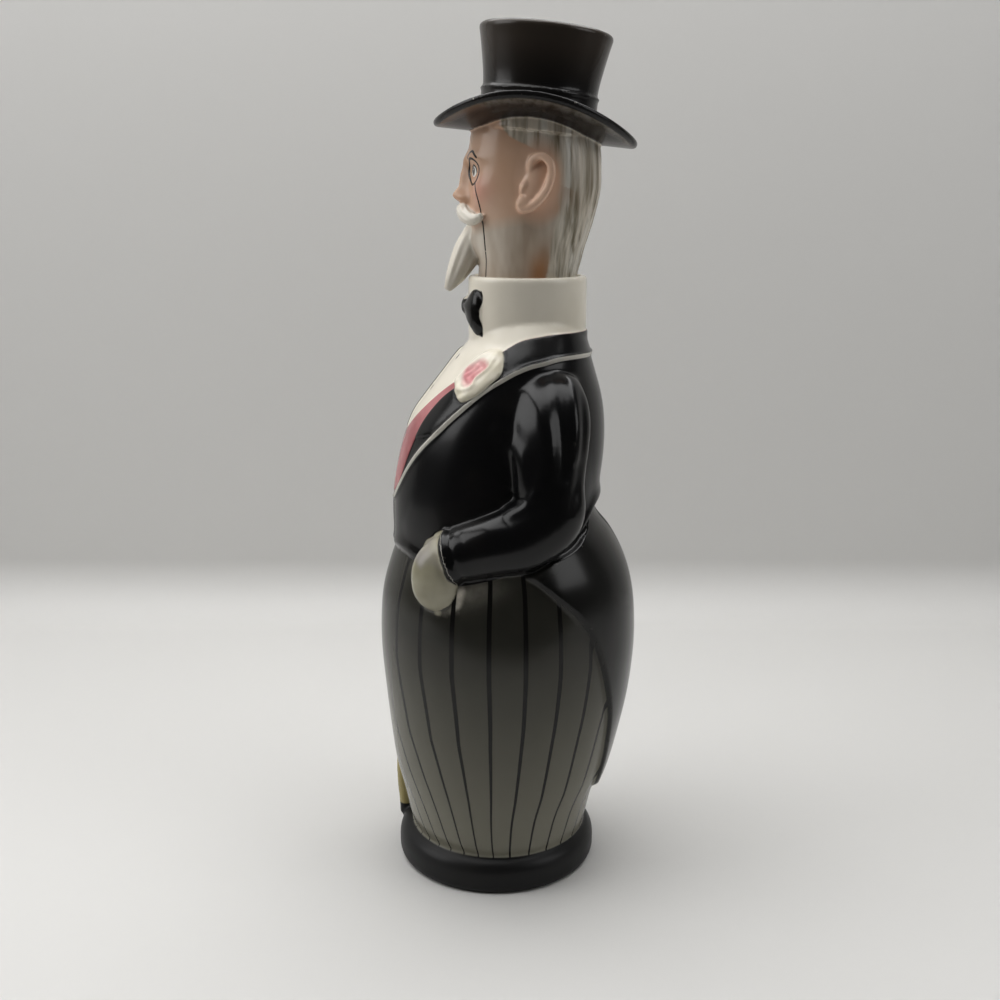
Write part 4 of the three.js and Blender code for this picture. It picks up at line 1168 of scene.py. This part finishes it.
def paintBottle(body):
    glaze = Glaze("bottle glaze", 0.13)
    lay, mask, mottled, times, field = glaze.lay, glaze.mask, glaze.mottled, glaze.times, glaze.field
    ivory = mottled("ivory", "ivoryShade", 26, 0.45, 0.85)
    black = mottled("coatBlack", "coatWorn", 40, 0.5, 0.75)
    lay(mottled("trouserGrey", "trouserPale", 28, 0.35, 0.65))
    # the trousers lighten towards the foot: partly the glaze's own darker top, partly painted shade under the
    # coat and painted light from the floor
    low = glaze.math("MULTIPLY_ADD", field("height"), -1 / 42, 1.0, clamp=True)
    lay("trouserLow", low)
    smear = times(field("smear"), glaze.noise(120, 4.0, 0.6), clamp=True)
    lay("ivory", smear)
    stripeGap = glaze.math("PINGPONG", field("stripe"), 0.5)
    stripe = glaze.math("SUBTRACT", field("stripeHalf"), stripeGap)
    lay("stripeBlack", mask(stripe, 0.02))
    lay("stripeBlack", mask(glaze.math("SUBTRACT", 0.45, field("middle")), 0.4))
    belowHem = mask(times(field("hem"), -1.0), 0.5, 1.5)
    tail = times(mask("tail", 0.5, 0.2), belowHem)
    lay(mottled("tailGrey", "tailPale", 48, 0.45, 0.75, stretch=(1, 1, 0.3)), tail)
    lay("coatBlack", times(tail, mask("tailSplit", 0.5)))
    lay(black, glaze.math("MAXIMUM", mask("hem", 0.4, 0.2), mask("sleeve", 0.4)))
    shirt = times(mask("lapel", 0.4), mask("hem", 0.5, -2))
    lay(mottled("waistcoatPink", "waistcoatPale", 60), shirt)
    shirt = times(shirt, mask("waistcoat", 0.8))
    lay(ivory, shirt)
    placket = times(mask(glaze.math("SUBTRACT", 0.8, field("middle")), 0.4), shirt)
    lay("stripeBlack", times(placket, mask("collarFoot", 1.0)))
    lay("stripeBlack", mask("stud", 0.3))
    band = glaze.math("SUBTRACT", bottle["pipingWidth"], glaze.math("ABSOLUTE", field("piping")))
    # for a painted highlight: a thin pale line along the turned hem near each sleeve's end
    fromHemHighlight = glaze.math("SUBTRACT", field("sleeveToEnd"), 1.4)
    hemHighlight = glaze.math("SUBTRACT", 0.16, glaze.math("ABSOLUTE", fromHemHighlight))
    lay("pipingAndHighlightGrey", times(mask(band, 0.35), mask("hem", 0.5, -2)))
    lay("stripeBlack", mask("bow", 0.4))
    cream = mottled("petalCream", "ivory", 90)
    lay(cream, mask("flower", 0.5))
    heart = times(mask("heart", 1.8, -0.2), mask("ruffle", 0.8, -0.3))
    lay(mottled("petalPink", "petalPale", 170, 0.35, 0.75), heart)
    # painted highlight on the turned hem of each sleeve, in the piping's grey
    lay("pipingAndHighlightGrey", times(mask(hemHighlight, 0.35), mask("sleeve", 0.4, 0.2)))
    lay(mottled("caneOchre", "hairShade", 60, 0.4, 0.9), mask("cane", 0.4))
    lay("stripeBlack", mask("caneFoot", 1.0))
    lay(mottled("glove", "gloveShade", 45, 0.35, 0.75), mask("hand", 0.4))
    violet = times(mask("cuff", 0.8), glaze.noise(90, 3.0, 0.5))
    lay("violet", times(violet, 0.35))
    plinth = mask("plinth", 0.5)
    lay(mottled("plinthBlack", "coatWorn", 30, 0.55, 0.8), plinth)
    glaze.chips(-0.67, 0.9)
    lay("bisque", mask("hidden", 0.5, -0.4))
    glaze.finish(body, 0.05, times(plinth, 0.22))


def paintHead(top):
    glaze = Glaze("head glaze", 0.15)
    lay, mask, mottled, times, field = glaze.lay, glaze.mask, glaze.mottled, glaze.times, glaze.field
    lay(mottled("skin", "skinPale", 34, 0.35, 0.7))
    lay("rose", times(field("cheek"), 0.4))
    jaw = mottled("jaw", "whisker", 75, 0.45, 0.75, stretch=(1, 1, 0.3))
    lay(jaw, times(mask("beard", 5.0), 0.85))
    lay("tan", times(field("nape"), 0.8))
    fine = mottled("hair", "hairShade", 330, 0.40, 0.68, stretch=(1, 1, 0.08))
    ragged = glaze.math("MULTIPLY_ADD", glaze.noise(150), 4.0, -2.0)
    hair = mask(glaze.math("ADD", field("hair"), ragged), 1.6)
    lay(fine, times(hair, 0.92))
    pale = mask(glaze.noise(260, 4.0, 0.55, stretch=(1, 1, 0.07)), 0.14, -0.57)
    lay("hairPale", times(times(pale, hair), 0.8))
    # painted shade in a crescent behind the ear
    lay("skinShade", times(field("earShade"), 0.35))
    ear = mottled("earSkin", "skinPale", 60, 0.4, 0.9)
    lay(ear, mask("ear", 0.8))
    # painted shade in the ear's bowl
    lay("skinShade", times(mask("earBowlShade", 2.2), 0.03))
    whisker = mottled("whisker", "ivory", 90, 0.4, 0.7)
    lay(whisker, glaze.math("MAXIMUM", mask("tuft", 0.6), mask("moustache", 0.5)))
    lay("rose", times(mask("lips", 0.5), 0.8))
    lay("eyeWhite", mask("eyeWhite", 0.4))
    lay("eyeDark", mask("iris", 0.3))
    lay("eyeWhite", mask("glint", 0.2))
    for line in ("lid", "brow", "monocle", "cord"):
        lay("eyeDark", mask(line, 0.25))
    onHat = mask("hat", 0.4)
    lay(mottled("hatBlack", "hatSheen", 14, 0.4, 0.7), onHat)
    # painted sheen: the crown lighter and browner towards its top
    lay("hatCrownSheen", times(mask("hatLevel", 14.0, -8.0), onHat))
    lay("hatBrown", times(mask("underBrim", 2.0), onHat))
    glaze.chips(-0.73, 0.8)
    glaze.finish(top, 0.04)


# Floor, camera and light

studio = {
    "lens": 43.02,
    "cameraAt": (0.4586, 0.00156, 0.2642),
    "cameraDown": 14.0,
    "gamma": 0.88,           # deep blacks, as in a contrasty picture
    "paper": (0.62, 0.614, 0.60),
    "front": 0.31,           # the paper's front edge, which the glaze mirrors
    "back": -0.265,          # where it starts to curve up
    "curve": 0.035,
    "halfWidth": 1.1,
    "wallTop": 0.6,
    "room": (0.11, 0.05),    # brightness of the room beside and in front of the camera
    "panels": [              # place, size across and along, watts
        ((-0.28, 0.0, 0.98), (1.5, 1.2), 5.2),
        ((-0.14, -0.05, 0.74), (0.9, 1.0), 7.4),
        ((0.16, -0.95, 0.66), (0.7, 0.7), 4.6),
        ((0.34, 0.75, 0.52), (0.5, 0.5), 1.7),
    ],
}


def makeStudio():
    # a sheet of paper that runs back from in front of the camera and curves up behind the figure
    sweep = [(studio["front"], 0.0), (0.1, 0.0), (studio["back"], 0.0)]
    sweep += [(studio["back"] - studio["curve"] * math.sin(a), studio["curve"] * (1 - math.cos(a)))
              for a in np.linspace(0.1, math.pi / 2, 16)]
    sweep += [(studio["back"] - studio["curve"], studio["wallTop"])]
    paper = bpy.data.meshes.new("backdrop")
    reach = studio["halfWidth"]
    points = [(x, y, z - 0.0002) for x, z in sweep for y in (-reach, reach)]
    faces = [(2 * i, 2 * i + 1, 2 * i + 3, 2 * i + 2) for i in range(len(sweep) - 1)]
    paper.from_pydata(points, [], faces)
    backdrop = bpy.data.objects.new("backdrop", paper)
    bpy.context.collection.objects.link(backdrop)
    sheet = bpy.data.materials.new("pale paper")
    sheet.use_nodes = True
    nodes, links = sheet.node_tree.nodes, sheet.node_tree.links
    surface = nodes["Principled BSDF"]
    surface.inputs["Base Color"].default_value = (*studio["paper"], 1)
    surface.inputs["Roughness"].default_value = 0.6
    # seen from behind the paper is clear, so the figure's far side can be looked at
    oneSided = nodes.new("ShaderNodeMixShader")
    links.new(nodes.new("ShaderNodeNewGeometry").outputs["Backfacing"], oneSided.inputs[0])
    links.new(surface.outputs[0], oneSided.inputs[1])
    links.new(nodes.new("ShaderNodeBsdfTransparent").outputs[0], oneSided.inputs[2])
    links.new(oneSided.outputs[0], nodes["Material Output"].inputs["Surface"])
    paper.materials.append(sheet)
    for face in paper.polygons:
        face.use_smooth = True

    camera = bpy.data.objects.new("camera", bpy.data.cameras.new("camera"))
    camera.data.lens, camera.data.sensor_width = studio["lens"], 36
    down = math.radians(studio["cameraDown"])
    camera.location = studio["cameraAt"]
    camera.rotation_euler = Vector((-math.cos(down), 0, -math.sin(down))).to_track_quat("-Z", "Y").to_euler()
    camera.data.clip_start = 0.01
    bpy.context.collection.objects.link(camera)
    bpy.context.scene.camera = camera
    bpy.context.scene.view_settings.view_transform = "Standard"
    bpy.context.scene.view_settings.gamma = studio["gamma"]

    for place, size, watts in studio["panels"]:
        panel = bpy.data.objects.new("light panel", bpy.data.lights.new("light panel", "AREA"))
        panel.data.shape = "RECTANGLE"
        panel.data.size, panel.data.size_y, panel.data.energy = *size, watts
        panel.location = place
        aim = Vector((0, 0, 0.16)) - Vector(place)
        panel.rotation_euler = aim.to_track_quat("-Z", "Y").to_euler()
        bpy.context.collection.objects.link(panel)

    # the rest of the room is dim, and darkest behind the camera
    world = bpy.data.worlds.new("studio")
    world.use_nodes = True
    tree = world.node_tree
    axes = tree.nodes.new("ShaderNodeSeparateXYZ")
    tree.links.new(tree.nodes.new("ShaderNodeTexCoord").outputs["Generated"], axes.inputs[0])
    dim = tree.nodes.new("ShaderNodeMapRange")
    dim.interpolation_type = "SMOOTHSTEP"
    for socket, value in zip(("From Min", "From Max", "To Min", "To Max"), (-0.3, 0.5, *studio["room"])):
        dim.inputs[socket].default_value = value
    tree.links.new(axes.outputs["X"], dim.inputs["Value"])
    tree.links.new(dim.outputs["Result"], tree.nodes["Background"].inputs["Strength"])
    tree.nodes["Background"].inputs["Color"].default_value = (1.0, 0.985, 0.96, 1)
    bpy.context.scene.world = world


makeStudio()
print("studio ready")
paintBottle(makeBottle())
print("bottle painted")
paintHead(makeHead())
print("head painted")
